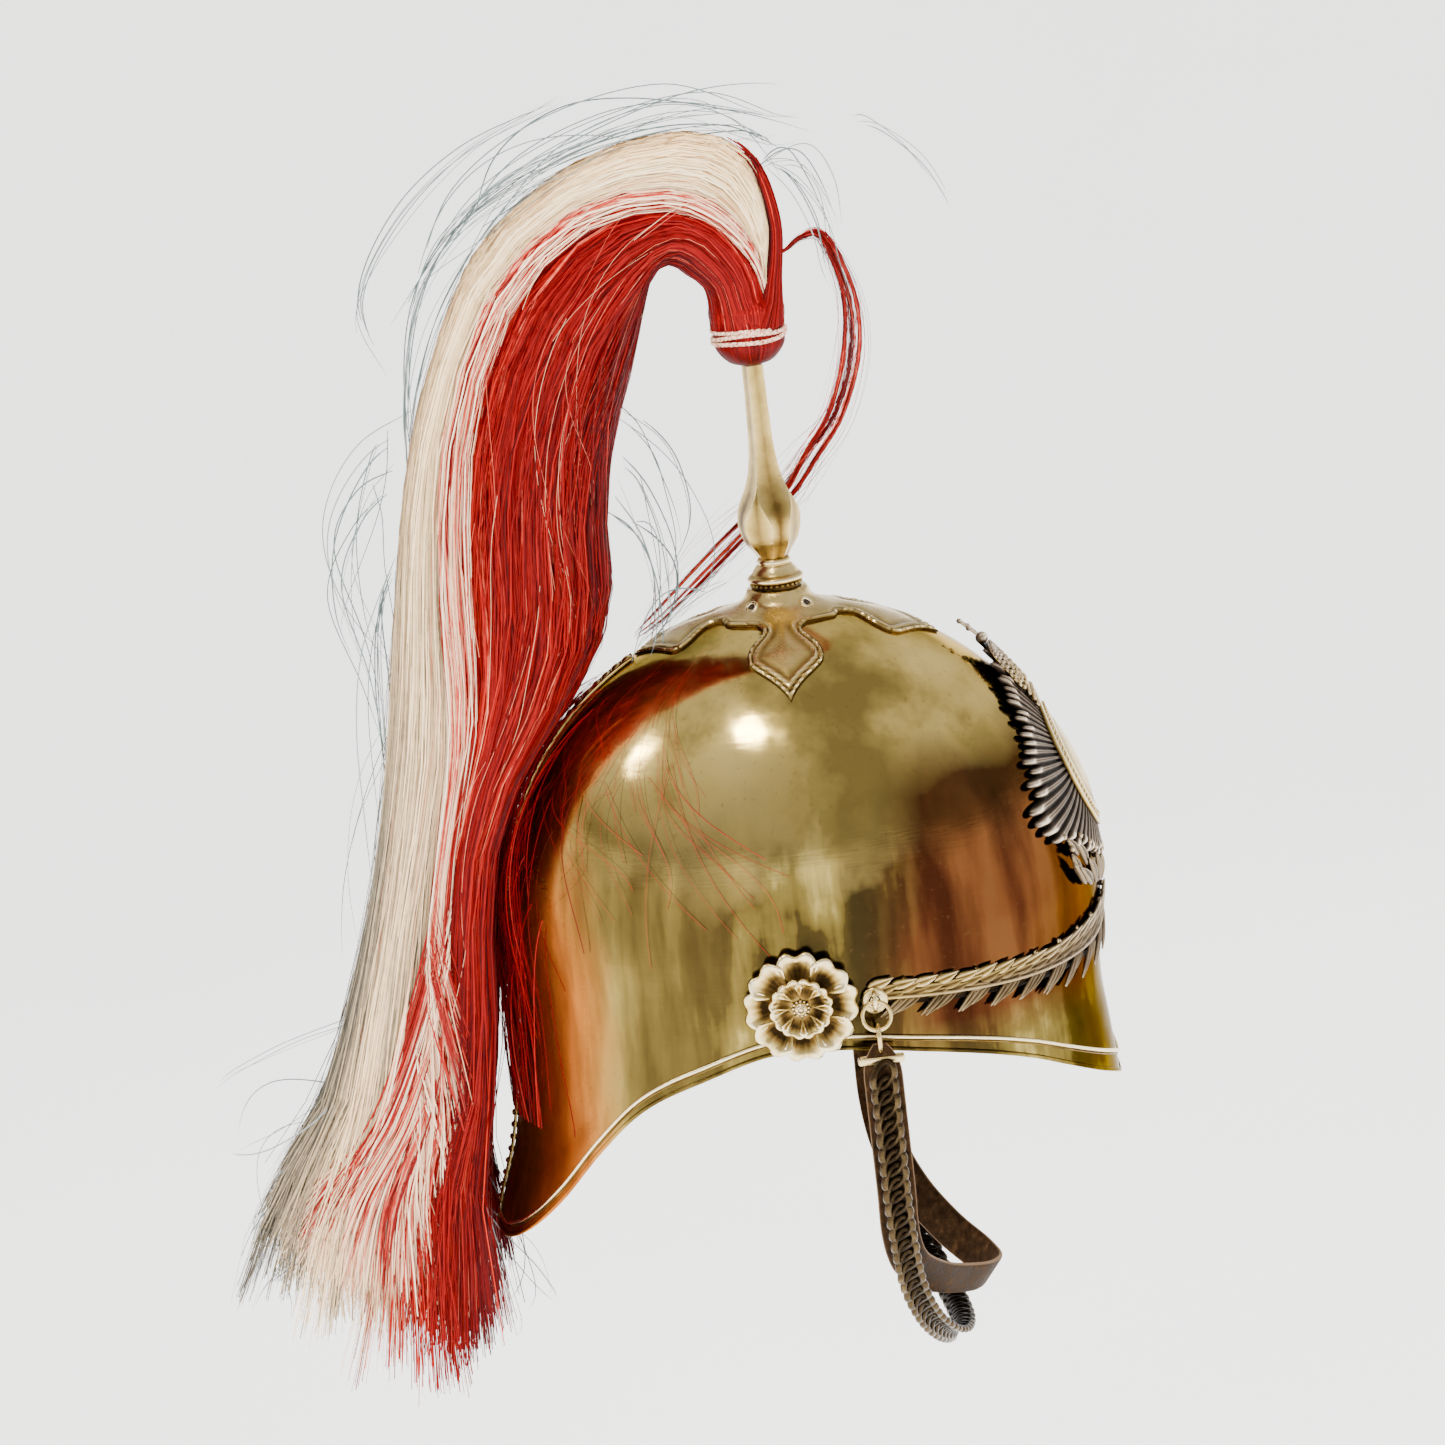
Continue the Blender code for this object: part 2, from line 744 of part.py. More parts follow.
def leaf_points(direction, neck, reach, half_width, rows, columns):
    """Places of one leaf seen from above, with how far each is from the leaf's edge."""
    across = Vector((-direction.y, direction.x))
    places = []
    for i in range(1, rows + 1):
        share = i / rows
        half = smooth_between(LEAF_SECTIONS, share) * half_width
        along = neck + (reach - neck) * share
        for j in range(columns + 1):
            side = 2.0 * j / columns - 1.0
            spot = direction * along + across * half * side
            places.append((spot.x, spot.y, abs(side), share))
    return places


def build_crown_plate(surface, collection, cutters):
    """Core and leaves in one sheet raised off the dome, with a ring round each vent."""
    columns = 4
    corner = 2
    around = 4 * (columns + corner)
    rings = 4
    leaf_rows = 7
    leaves = (
        (Vector((0.0, -1.0)), LEAF_REACH_FRONT, LEAF_HALF_WIDTH_FRONT),
        (Vector((1.0, 0.0)), LEAF_REACH_SIDE, LEAF_HALF_WIDTH_SIDE),
        (Vector((0.0, 1.0)), LEAF_REACH_FRONT, LEAF_HALF_WIDTH_FRONT),
        (Vector((-1.0, 0.0)), LEAF_REACH_SIDE, LEAF_HALF_WIDTH_SIDE),
    )
    boundary = []
    for k, (direction, reach, half_width) in enumerate(leaves):
        across = Vector((-direction.y, direction.x))
        half = smooth_between(LEAF_SECTIONS, 0.0) * half_width
        for j in range(columns + 1):
            side = 2.0 * j / columns - 1.0
            boundary.append(direction * PLATE_CORE_RADIUS + across * half * side)
        following = leaves[(k + 1) % 4][0]
        notch = (direction + following).normalized() * PLATE_CORE_RADIUS * 0.98
        boundary.append(notch)
    places = [(0.0, 0.0, 0.0, 0.0)]
    for i in range(1, rings + 1):
        share = CAP_RINGS[i - 1]
        for spot in boundary:
            round_spot = spot.normalized() * PLATE_CORE_RADIUS
            blended = round_spot.lerp(spot, share**2) * share
            places.append((blended.x, blended.y, share, 0.0))
    faces = ring_faces(range(rings), around)
    outer = 1 + (rings - 1) * around
    for k, (direction, reach, half_width) in enumerate(leaves):
        first = len(places)
        places += leaf_points(direction, PLATE_CORE_RADIUS, reach, half_width, leaf_rows, columns)
        root = outer + k * (columns + corner)
        for j in range(columns):
            faces.append((root + j, first + j, first + j + 1, root + j + 1))
        faces += [tuple(reversed(face)) for face in grid_faces(leaf_rows, columns + 1, first)]
    low = []
    high = []
    for index, (x, y, edge, along) in enumerate(places):
        low.append(over_dome(x, y, PLATE_SEAT))
        if index < 1 + rings * around:
            height = smooth_between(CAP_SECTIONS, edge) * CAP_HEIGHT
            moulding = PLATE_MOULDING * (edge > 0.99)
        else:
            height = 0.0
            moulding = PLATE_MOULDING * (1.0 if 0.55 < edge < 0.75 or along > 0.9 else 0.15)
        high.append(over_dome(x, y, PLATE_SEAT + PLATE_THICKNESS + height + moulding))
    obj = relief("crown_plate", low, high, [tuple(reversed(face)) for face in faces], surface, collection)
    for k in range(4):
        angle = math.pi / 4.0 + math.pi / 2.0 * k
        x = VENT_REACH * math.cos(angle)
        y = VENT_REACH * math.sin(angle)
        share = VENT_REACH / PLATE_CORE_RADIUS
        rise = PLATE_SEAT + PLATE_THICKNESS + smooth_between(CAP_SECTIONS, share) * CAP_HEIGHT
        middle = over_dome(x, y, rise)
        axis = Vector((x, y, VENT_REACH * 1.1)).normalized()
        eyelet = ring(
            f"vent_ring_{k + 1}", middle, axis, VENT_RING_RADIUS, VENT_RING_WIRE, surface, cutters, 8, 4
        )
        eyelet.hide_render = True
        eyelet.display_type = "WIRE"
        combine(obj, eyelet, "UNION")
        hole = rod(f"vent_hole_{k + 1}", middle, axis, VENT_RADIUS, VENT_DEPTH, cutters, 8)
        combine(obj, hole, "DIFFERENCE")
    return obj


def cap_top():
    return DOME_BASE + DOME_RISE + PLATE_SEAT + PLATE_THICKNESS + CAP_HEIGHT


def build_spike_collar(surface, collection):
    foot = cap_top() + GAP
    size = COLLAR_RADIUS, COLLAR_HEIGHT
    return turned("spike_collar", COLLAR_SECTIONS, *size, foot, 20, surface, collection)


def spike_foot():
    return cap_top() + GAP + COLLAR_HEIGHT + GAP


def build_spike(surface, collection):
    """Four upper faces and, between their corners, four pointed lower faces."""
    turn = math.radians(SPIKE_TURN_DEGREES)
    sections = []
    for share, upper, lower in SPIKE_SECTIONS:
        section = []
        for j in range(16):
            angle = math.pi / 8.0 * j
            from_upper = (angle + math.pi / 4.0) % (math.pi / 2.0) - math.pi / 4.0
            from_lower = angle % (math.pi / 2.0) - math.pi / 4.0
            radius = min(upper / math.cos(from_upper), lower / math.cos(from_lower)) * SPIKE_BULB_HALF_WIDTH
            height = spike_foot() + share * SPIKE_HEIGHT
            section.append(
                Vector((radius * math.cos(angle + turn), radius * math.sin(angle + turn), height))
            )
        sections.append(section)
    return loft("spike", sections, surface, collection)


def head_foot():
    return spike_foot() + SPIKE_HEIGHT + GAP


def head_top():
    return head_foot() + HEAD_HEIGHT


def build_plume_head(surface, collection):
    size = HEAD_RADIUS, HEAD_HEIGHT
    return turned("plume_head", HEAD_SECTIONS, *size, head_foot(), 16, surface, collection)


def build_plume_binding(surface, collection):
    """A cord wound round the waist of the plume head."""
    per_turn = 10
    start = head_foot() + 0.28 * HEAD_HEIGHT
    pitch = CORD_RADIUS * 2.0 + GAP
    radius = 0.87 * HEAD_RADIUS + CORD_RADIUS * 1.4 + GAP
    points = []
    for i in range(CORD_TURNS * per_turn):
        angle = 2.0 * math.pi * i / per_turn
        height = start + pitch * i / per_turn
        points.append((radius * math.cos(angle), radius * math.sin(angle), height))
    return wire("plume_binding", points, CORD_RADIUS, surface, collection)


def skull_back():
    """How far the skull's dome reaches behind the spike."""
    return SKULL_SET_BACK + SKULL_HALF_LENGTH


def plume_height(share):
    foot = head_top() + GAP * 2.0
    if share > 1.0:
        return foot + (share - 1.0) * PLUME_RISE
    return share * (foot if share > 0.0 else PLUME_TAIL)


def plume_rows():
    """Lengths of the plume's sections from their shares."""
    rows = []
    for inner_back, inner_up, depth, outer_up, half_width, split in PLUME_SECTIONS:
        inner = inner_back * skull_back()
        outer = inner + depth * PLUME_DEPTH
        heights = plume_height(inner_up), plume_height(outer_up)
        rows.append((inner, heights[0], outer, heights[1], half_width * PLUME_HALF_WIDTH, split))
    return rows


def plume_section(row):
    """Inner and outer points in the middle plane, half width and split."""
    return Vector((0.0, row[0], row[1])), Vector((0.0, row[2], row[3])), row[4], row[5]


def build_plume(name, from_split, locks, surface, collection):
    """One colour of the plume: lobed sections along the arch and the fall, with ragged cut ends."""
    places = [plume_section(row) for row in plume_rows()]
    last = len(places) - 1
    sections = []
    for i, (inner, outer, half_width, split) in enumerate(places):
        gap = GAP / (outer - inner).length
        low, high = (split + gap, 1.0) if from_split else (0.0, split - gap)
        middle = inner.lerp(outer, (low + high) / 2.0)
        depth = (outer - inner) * (high - low) / 2.0
        across = Vector((half_width, 0.0, 0.0))
        before = places[max(i - 1, 0)]
        after = places[min(i + 1, last)]
        onward = (after[0] + after[1] - before[0] - before[1]).normalized()
        section = []
        for j in range(PLUME_SIDES):
            angle = 2.0 * math.pi * j / PLUME_SIDES
            outside = 0.5 + 0.5 * math.cos(angle) * (1.0 if from_split else -1.0)
            lobe = 1.0 - PLUME_LOCK_DEPTH * outside * (0.5 + 0.5 * math.cos(locks * angle + 0.35 * i))
            flat = 1.0 / max(abs(math.cos(angle)) ** 2.6 + abs(math.sin(angle)) ** 2.6, 0.01) ** (1.0 / 2.6)
            point = middle + (depth * math.cos(angle) + across * math.sin(angle)) * lobe * flat
            if i == last:
                ragged = math.sin(locks * angle + 1.3) + 0.5 * math.sin(5.0 * angle)
                point += onward * PLUME_CUT_RAGGEDNESS * outside * ragged
            section.append(point)
        sections.append(section)
    return loft(name, sections, surface, collection)


def build_stray_lock(surface, collection):
    top = DOME_BASE + DOME_RISE
    points = [
        (
            across * SKULL_HALF_WIDTH,
            back * skull_back(),
            top + up * (head_top() - top),
            radius * STRAY_LOCK_RADIUS,
        )
        for across, back, up, radius in STRAY_LOCK_ROUTE
    ]
    route = smooth_route(points, 18)
    sections = []
    for i, (x, y, z, radius) in enumerate(route):
        before = Vector(route[max(i - 1, 0)][:3])
        after = Vector(route[min(i + 1, len(route) - 1)][:3])
        onward = (after - before).normalized()
        side = onward.cross(Vector((1.0, 0.0, 0.0))).normalized()
        up = side.cross(onward).normalized()
        section = []
        for j in range(6):
            angle = math.pi / 3.0 * j
            out = side * math.cos(angle) * 0.8 + up * math.sin(angle) * 0.6
            section.append(Vector((x, y, z)) + out * radius)
        sections.append(section)
    return loft("plume_stray_lock", sections, surface, collection)


def plate_seat(x, height):
    """How far forward the front plate lies: its clearance square to the dome, and its stand-off."""
    normal = dome_normal(before_dome(x, height, 0.0))
    clearance = RAY_PLATE_SEAT / max(abs(normal.y), 0.2)
    stand_off = smooth_between(STAND_OFF_SECTIONS, height / (DOME_BASE + DOME_RISE)) * CROWN_STAND_OFF
    return clearance + stand_off + RAY_PLATE_SIDE_LIFT * (x / RAY_PLATE_RADIUS) ** 2


def build_front_plate(surface, collection):
    """Rays about the middle of the plate: a ridge on each ray, a notch between its neighbours."""
    around = RAY_COUNT * 2
    ring_shares = (0.30, 0.62, 1.00)
    places = [(0.0, RAY_PLATE_CENTRE_HEIGHT, 0.0)]
    for i, share in enumerate(ring_shares):
        for j in range(around):
            angle = 2.0 * math.pi * j / around
            degrees = abs((math.degrees(angle) + 180.0) % 360.0 - 180.0)
            reach = smooth_between(RAY_PLATE_OUTLINE, degrees) * RAY_PLATE_RADIUS
            notch = 0.90 if j % 2 and share == 1.0 else 1.0
            ridge = 0.0 if j % 2 or i == 0 else 1.0
            x = -math.sin(angle) * reach * share * notch
            z = RAY_PLATE_CENTRE_HEIGHT + math.cos(angle) * reach * share * notch
            places.append((x, z, ridge))
    low = [before_dome(x, z, plate_seat(x, z)) for x, z, ridge in places]
    high = [
        before_dome(x, z, plate_seat(x, z) + RAY_PLATE_THICKNESS + RAY_RIDGE * ridge)
        for x, z, ridge in places
    ]
    return relief("front_plate", low, high, ring_faces(range(len(ring_shares)), around), surface, collection)


def build_front_boss(surface, collection):
    """A plain oval dome inside a raised border."""
    around = 24
    rows = ((0.45, 1.00), (0.80, 0.55), (0.84, 0.35), (0.92, 0.62), (1.00, 0.30))
    seat = GAP + RAY_PLATE_THICKNESS + RAY_RIDGE
    places = [(0.0, BOSS_CENTRE_HEIGHT, 1.15)]
    for share, rise in rows:
        for j in range(around):
            angle = 2.0 * math.pi * j / around
            x = -math.sin(angle) * BOSS_HALF_WIDTH * share
            z = BOSS_CENTRE_HEIGHT + math.cos(angle) * BOSS_HALF_HEIGHT * share
            places.append((x, z, rise))
    low = [before_dome(x, z, plate_seat(x, z) + seat) for x, z, rise in places]
    high = [before_dome(x, z, plate_seat(x, z) + seat + BOSS_DOME * rise) for x, z, rise in places]
    faces = ring_faces(range(len(rows)), around)
    low_faces = ring_faces((0, len(rows) - 1), around)
    return relief("front_boss", low, high, faces, surface, collection, low_faces)


def build_front_crown(surface, collection):
    """A plain crown in relief: band, two bulging sides, ball on top."""
    columns = 8
    seat = GAP + RAY_PLATE_THICKNESS + RAY_RIDGE
    base = BOSS_CENTRE_HEIGHT + BOSS_HALF_HEIGHT + CROWN_ABOVE_BOSS
    low = []
    high = []
    for share, half, rise in CROWN_SECTIONS:
        height = base + share * CROWN_TALL
        for j in range(columns + 1):
            side = 2.0 * j / columns - 1.0
            x = side * half * CROWN_HALF_WIDTH
            arch = 0.35 + 0.65 * abs(math.cos(1.5 * math.pi * side))
            depth = CROWN_THICKNESS + CROWN_RELIEF * rise * arch * (1.0 - 0.6 * side**2)
            proud = plate_seat(x, height) + seat
            low.append(before_dome(x, height, proud))
            high.append(before_dome(x, height, proud + depth))
    return relief("front_crown", low, high, grid_faces(len(CROWN_SECTIONS), columns + 1), surface, collection)


def build_spray(name, mirror, surface, collection):
    """Leaves swept back from a stem, as a band with a toothed edge."""
    rows = SPRAY_LEAVES * 2
    sides = (-1.0, -0.15, 0.15, 1.0)
    low = []
    high = []
    back = math.radians(SPRAY_BACK_DEGREES)
    front = math.radians(SPRAY_FRONT_DEGREES)
    for i in range(rows + 1):
        share = i / rows
        centre = smooth_between(SPRAY_SECTIONS, share, 1) * SPRAY_CENTRE_HEIGHT
        widening = smooth_between(SPRAY_SECTIONS, share, 2)
        half = SPRAY_HALF_HEIGHT_BACK + (SPRAY_HALF_HEIGHT_FRONT - SPRAY_HALF_HEIGHT_BACK) * widening
        half *= 1.0 if i % 2 else 0.82
        for side in sides:
            sweep = 1.2 * abs(side) * (back - front) / rows
            angle = back + (front - back) * share + sweep
            height = centre + side * half
            crest = 1.0 if i % 2 else 0.35
            rise = SPRAY_LEAF_RIDGE * crest * (1.0 - 0.35 * abs(side))
            low.append(over_skull(angle * mirror, height, GAP))
            high.append(over_skull(angle * mirror, height, GAP + SPRAY_THICKNESS + rise))
    return relief(name, low, high, grid_faces(rows + 1, len(sides)), surface, collection)


def rosette_seat():
    """How far the rosette stands off the skull, clear of the rim wire below it."""
    return GAP + RIM_WIRE_RADIUS * 2.0 + GAP


def rosette_place(across, up, proud, mirror):
    """A point of a rosette: across towards the back, up, and away from the skull."""
    angle = math.radians(ROSETTE_DEGREES) + across / SKULL_HALF_LENGTH
    height = ROSETTE_HEIGHT + up
    lowest = rim_height(angle) + SKULL_WALL
    drop = Vector((0.0, 0.0, min(0.0, height - lowest)))
    return over_skull(angle * mirror, max(height, lowest), proud) + drop


def build_rosette(name, mirror, surface, collection):
    """A double rose: outer petals with curled edges round smaller inner ones."""
    steps = 3
    around = ROSETTE_PETALS * steps
    rows = (
        # radius, rise, petal swell, turn in petals
        (0.22, 0.55, 0.0, 0.5),
        (0.40, 1.00, 0.5, 0.5),
        (0.54, 0.35, 0.2, 0.5),
        (0.72, 0.45, 0.6, 0.0),
        (0.92, 0.58, 1.0, 0.0),
        (1.00, 0.20, 1.0, 0.0),
    )
    places = [(0.0, 0.0, ROSETTE_CUP)]
    for share, rise, swell, turn in rows:
        for j in range(around):
            angle = 2.0 * math.pi * j / around
            lobe = abs(math.sin(ROSETTE_PETALS / 2.0 * angle + turn * math.pi))
            reach = ROSETTE_RADIUS * share * (1.0 - 0.12 * swell * (1.0 - lobe))
            height = rise * (1.0 - 0.45 * swell * (1.0 - lobe))
            places.append((reach * math.sin(angle), reach * math.cos(angle), height))
    seat = rosette_seat()
    low = [rosette_place(a, u, seat, mirror) for a, u, rise in places]
    high = [
        rosette_place(a, u, seat + ROSETTE_THICKNESS + ROSETTE_HEART_RISE * rise, mirror)
        for a, u, rise in places
    ]
    faces = ring_faces(range(len(rows)), around)
    return relief(name, low, high, faces, surface, collection, ring_faces((len(rows) - 1,), around))


def build_rosette_knob(name, mirror, surface, collection):
    proud = rosette_seat() + ROSETTE_THICKNESS + ROSETTE_HEART_RISE * ROSETTE_CUP + KNOB_RADIUS + GAP
    bpy.ops.mesh.primitive_uv_sphere_add(segments=8, ring_count=6, radius=KNOB_RADIUS)
    obj = bpy.context.object
    for holder in list(obj.users_collection):
        holder.objects.unlink(obj)
    obj.name = name
    obj.data.name = name
    obj.location = rosette_place(0.0, 0.0, proud, mirror)
    obj.data.materials.append(surface)
    obj.data.shade_smooth()
    collection.objects.link(obj)
    return obj


def hook_frame(side):
    """Where the hook stands: its foot on the skull, the way out of the skull, and the way forward."""
    angle = math.asin(1.0) - math.asin((HOOK_SET_FORWARD + SKULL_SET_BACK) / SKULL_HALF_LENGTH)
    out = Vector((-1.0, 0.0, 0.0))
    foot = skull_point(angle, HOOK_HEIGHT) + out * (GAP + SPRAY_THICKNESS + SPRAY_LEAF_RIDGE * 0.5)
    return Vector((foot.x * side, foot.y, foot.z)), Vector((out.x * side, 0.0, 0.0))


def build_hook(name, side, surface, collection):
    """A loop of wire that stands out of the skull, with the ring through it."""
    foot, out = hook_frame(side)
    points = []
    steps = 8
    for i in range(steps + 1):
        angle = math.pi * i / steps - math.pi / 2.0
        reach = HOOK_LOOP_RADIUS * math.cos(angle) + HOOK_WIRE * 0.2 + GAP
        points.append(foot + out * reach + Vector((0.0, 0.0, HOOK_LOOP_RADIUS * math.sin(angle))))
    return wire(name, points, HOOK_WIRE, surface, collection)


def strap_top(side):
    """The middle of the strap's upper end."""
    across = -(SKULL_HALF_WIDTH + STRAP_STAND_OFF) * side
    return Vector((across, -HOOK_SET_FORWARD, HOOK_HEIGHT - STRAP_TOP_DROP))


def ring_places(side):
    """The two linked rings from the hook to the hole in the strap: centre, axis and radius of each."""
    foot, out = hook_frame(side)
    hung = foot + out * (GAP + RING_WIRE * 2.0)
    lower = strap_top(side) + Vector((0.0, 0.0, LOWER_RING_RADIUS - STRAP_HOLE_INSET))
    linked = RING_WIRE * 2.0 + GAP * 2.0
    along = (lower - hung).normalized()
    upper_radius = ((lower - hung).length - LOWER_RING_RADIUS + linked) / 2.0
    upper = hung + along * upper_radius
    upper_axis = along.cross(Vector((0.0, 1.0, 0.0)))
    return (upper, upper_axis, upper_radius), (lower, Vector((0.0, 1.0, 0.0)), LOWER_RING_RADIUS)


def strap_points(route, top, swing, drop, side_steps):
    """The route from its top on the right to the same place on the left, mirrored in the middle plane."""
    lengths = [
        (top.x * across, top.y - forward * swing, top.z - down * drop)
        for across, forward, down in route
    ]
    half = smooth_route(lengths, side_steps)
    right = [Vector((x, y, z)) for x, y, z in half]
    left = [Vector((-x, y, z)) for x, y, z in reversed(half[:-1])]
    return right + left


def build_chin_strap(surface, collection, cutters):
    """A flat leather band that lies on the cheeks and stands on edge under the chin."""
    points = strap_points(STRAP_ROUTE, strap_top(1.0), STRAP_SWING, STRAP_DROP, 19)
    last = len(points) - 1
    sections = []
    for i, point in enumerate(points):
        onward = (points[min(i + 1, last)] - points[max(i - 1, 0)]).normalized()
        side = point.x / abs(points[0].x)
        inward = max(0.0, 1.0 - abs(side))
        face = Vector((side, -0.8 * inward, -0.6 * math.sqrt(inward))).normalized()
        face = (face - onward * face.dot(onward)).normalized()
        wide = onward.cross(face).normalized()
        half = STRAP_WIDTH / 2.0
        thick = STRAP_THICKNESS / 2.0
        if i in (0, last):
            half *= 0.55
        corners = ((-half, -thick), (half, -thick), (half, thick), (-half, thick))
        sections.append([point + wide * a + face * b for a, b in corners])
    obj = loft("chin_strap", sections, surface, collection)
    for side in (1.0, -1.0):
        lower = ring_places(side)[1][0]
        spot = lower - Vector((0.0, 0.0, LOWER_RING_RADIUS))
        label = "right" if side > 0.0 else "left"
        hole = rod(f"strap_hole_{label}", spot, (1.0, 0.0, 0.0), STRAP_HOLE_RADIUS, STRAP_WIDTH, cutters)
        combine(obj, hole, "DIFFERENCE")
    return obj


def build_chin_chain(surface, collection):
    top = strap_top(1.0) + Vector((STRAP_STAND_OFF - CHAIN_STAND_OFF, 0.0, -CHAIN_TOP_DROP))
    points = strap_points(CHAIN_ROUTE, top, CHAIN_SWING, CHAIN_DROP, 16)
    return wire("chin_chain", points, CHAIN_RADIUS, surface, collection, side_steps=1)


def build_keeper(name, side, surface, collection):
    """A flat metal loop round the top of the strap."""
    middle = strap_top(side) - Vector((0.0, 0.0, KEEPER_DROP))
    inner_x = STRAP_THICKNESS / 2.0 + GAP
    inner_y = STRAP_WIDTH / 2.0 + GAP * 2.0
    sections = []
    for sx, sy in ((-1, -1), (1, -1), (1, 1), (-1, 1)):
        section = []
        for grow, up in ((0.0, -0.5), (1.0, -0.5), (1.0, 0.5), (0.0, 0.5)):
            x = sx * (inner_x + grow * KEEPER_WIRE)
            y = sy * (inner_y + grow * KEEPER_WIRE)
            section.append(middle + Vector((x, y, up * KEEPER_HEIGHT)))
        sections.append(section)
    return loft(name, sections, surface, collection, closed=True)


def build_helmet():
    clear_scene()
    parts = new_collection(COLLECTION_NAME)
    cutters = new_collection(CUTTERS_NAME)
    brass = finish("skull_brass", (0.62, 0.44, 0.16), 0.14, 1.0)
    gilt = finish("gilt_mounts", (0.78, 0.55, 0.22), 0.25, 1.0)
    bronze = finish("plate_bronze", (0.55, 0.46, 0.34), 0.35, 1.0)
    red_hair = finish("red_hair", (0.50, 0.02, 0.02), 0.50, 0.0)
    white_hair = finish("white_hair", (0.86, 0.74, 0.60), 0.50, 0.0)
    cord = finish("binding_cord", (0.80, 0.66, 0.55), 0.60, 0.0)
    leather = finish("strap_leather", (0.10, 0.05, 0.03), 0.60, 0.0)
    chain = finish("chain_metal", (0.34, 0.27, 0.19), 0.40, 1.0)

    build_skull(brass, parts)
    build_rim_beading(brass, parts)
    build_back_strip(gilt, parts)
    build_crown_plate(gilt, parts, cutters)
    build_spike_collar(gilt, parts)
    build_spike(gilt, parts)
    build_plume_head(red_hair, parts)
    build_plume_binding(cord, parts)
    build_plume("plume_red", False, 5, red_hair, parts)
    build_plume("plume_white", True, 7, white_hair, parts)
    build_stray_lock(red_hair, parts)
    build_front_plate(bronze, parts)
    build_front_boss(gilt, parts)
    build_front_crown(bronze, parts)
    build_chin_strap(leather, parts, cutters)
    build_chin_chain(chain, parts)
    for label, side in (("right", 1.0), ("left", -1.0)):
        build_spray(f"leaf_spray_{label}", side, bronze, parts)
        build_rosette(f"rosette_{label}", side, gilt, parts)
        build_rosette_knob(f"rosette_knob_{label}", side, gilt, parts)
        build_hook(f"chain_hook_{label}", side, gilt, parts)
        upper, lower = ring_places(side)
        ring(f"upper_ring_{label}", *upper, RING_WIRE, gilt, parts)
        ring(f"lower_ring_{label}", *lower, RING_WIRE, gilt, parts)
        build_keeper(f"strap_keeper_{label}", side, gilt, parts)


build_helmet()
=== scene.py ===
"""Dresses the parade helmet: polished shell, gilt mounts, rayed plate, hair plume, chin chain and strap."""

import math

import bpy
import numpy as np
from mathutils import Matrix, Vector
from mathutils.geometry import delaunay_2d_cdt


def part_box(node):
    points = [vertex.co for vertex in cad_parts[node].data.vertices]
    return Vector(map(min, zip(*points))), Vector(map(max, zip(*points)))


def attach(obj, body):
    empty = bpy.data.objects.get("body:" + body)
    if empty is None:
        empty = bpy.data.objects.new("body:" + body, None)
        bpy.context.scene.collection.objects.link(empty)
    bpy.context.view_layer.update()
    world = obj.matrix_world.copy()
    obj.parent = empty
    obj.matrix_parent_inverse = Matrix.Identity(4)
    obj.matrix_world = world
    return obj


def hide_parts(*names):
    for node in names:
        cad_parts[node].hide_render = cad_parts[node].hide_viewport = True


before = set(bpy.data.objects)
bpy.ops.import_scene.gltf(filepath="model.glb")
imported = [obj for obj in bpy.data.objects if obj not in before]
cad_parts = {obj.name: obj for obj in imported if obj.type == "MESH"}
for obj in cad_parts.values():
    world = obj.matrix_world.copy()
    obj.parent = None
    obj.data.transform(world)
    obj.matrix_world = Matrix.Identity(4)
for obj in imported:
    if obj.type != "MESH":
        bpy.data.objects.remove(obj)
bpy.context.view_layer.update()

# Sizes of the shell, in metres
SKULL_HALF_WIDTH = 0.101
SKULL_HALF_LENGTH = 0.12475
SKULL_SET_BACK = 0.00225
DOME_BASE = 0.040
DOME_RISE = 0.1264
SKULL_WALL = 0.0012
PEAK_DROP = 0.053
NECK_GUARD_DROP = 0.088
RIM_WIRE_ABOVE_EDGE = 0.0055
RIM_WIRE_RADIUS = 0.00085

# Sizes of the mounts
PLATE_CORE_RADIUS = 0.0270
PLATE_LIFT = 0.0008
CAP_HEIGHT = 0.0066
LEAF_REACH = 0.063
STRIP_ABOVE_EDGE = 0.0075
STRIP_BEAD_PITCH = 0.0054
EYELET_REACH = 0.0158
EYELET_CAP_SHARE = 0.585
EYELET_RADIUS = 0.0024
EYELET_WIRE = 0.0008
SPIKE_FOOT = 0.1866
SPIKE_HEIGHT = 0.0815
SPIKE_HALF_WIDTH = 0.0130
SPIKE_TURN = math.radians(20.0)
HEAD_FOOT = 0.2686
HEAD_TOP = 0.3006
RAY_CENTRE = 0.0880
RAY_REACH = 0.0600
RAY_SEAT = 0.0009
RAY_SIDE_LIFT = 0.0020
RAY_COUNT = 72
BOSS_CENTRE = 0.0860
BOSS_HALF_WIDTH = 0.0270
BOSS_HALF_HEIGHT = 0.0290
BOSS_SEAT = 0.0020
BOSS_RELIEF = 0.36
PEARL_RING = 0.855
CROWN_STAND_OFF = 0.0135
SPRAY_BACK = math.radians(79.5)
SPRAY_FRONT = math.radians(3.0)
SPRAY_LENGTH = 0.150
SPRAY_HEIGHT = 0.0165
ROSETTE_ANGLE = math.radians(93.5)
ROSETTE_HEIGHT = 0.0220
ROSETTE_STAND_OFF = 0.0026
SHEET_LEAF_THICKNESS = 0.0004
PETAL_THICKNESS = 0.0007
STRAP_HALF_WIDTH = 0.0080
STRAP_HALF_THICKNESS = 0.0011
LINK_PITCH = 0.0064
LINK_LEAN = math.radians(34.0)
LINK_WIRE = 0.00155
RING_WIRE = 0.0009
KEEPER_INSET = 0.0006

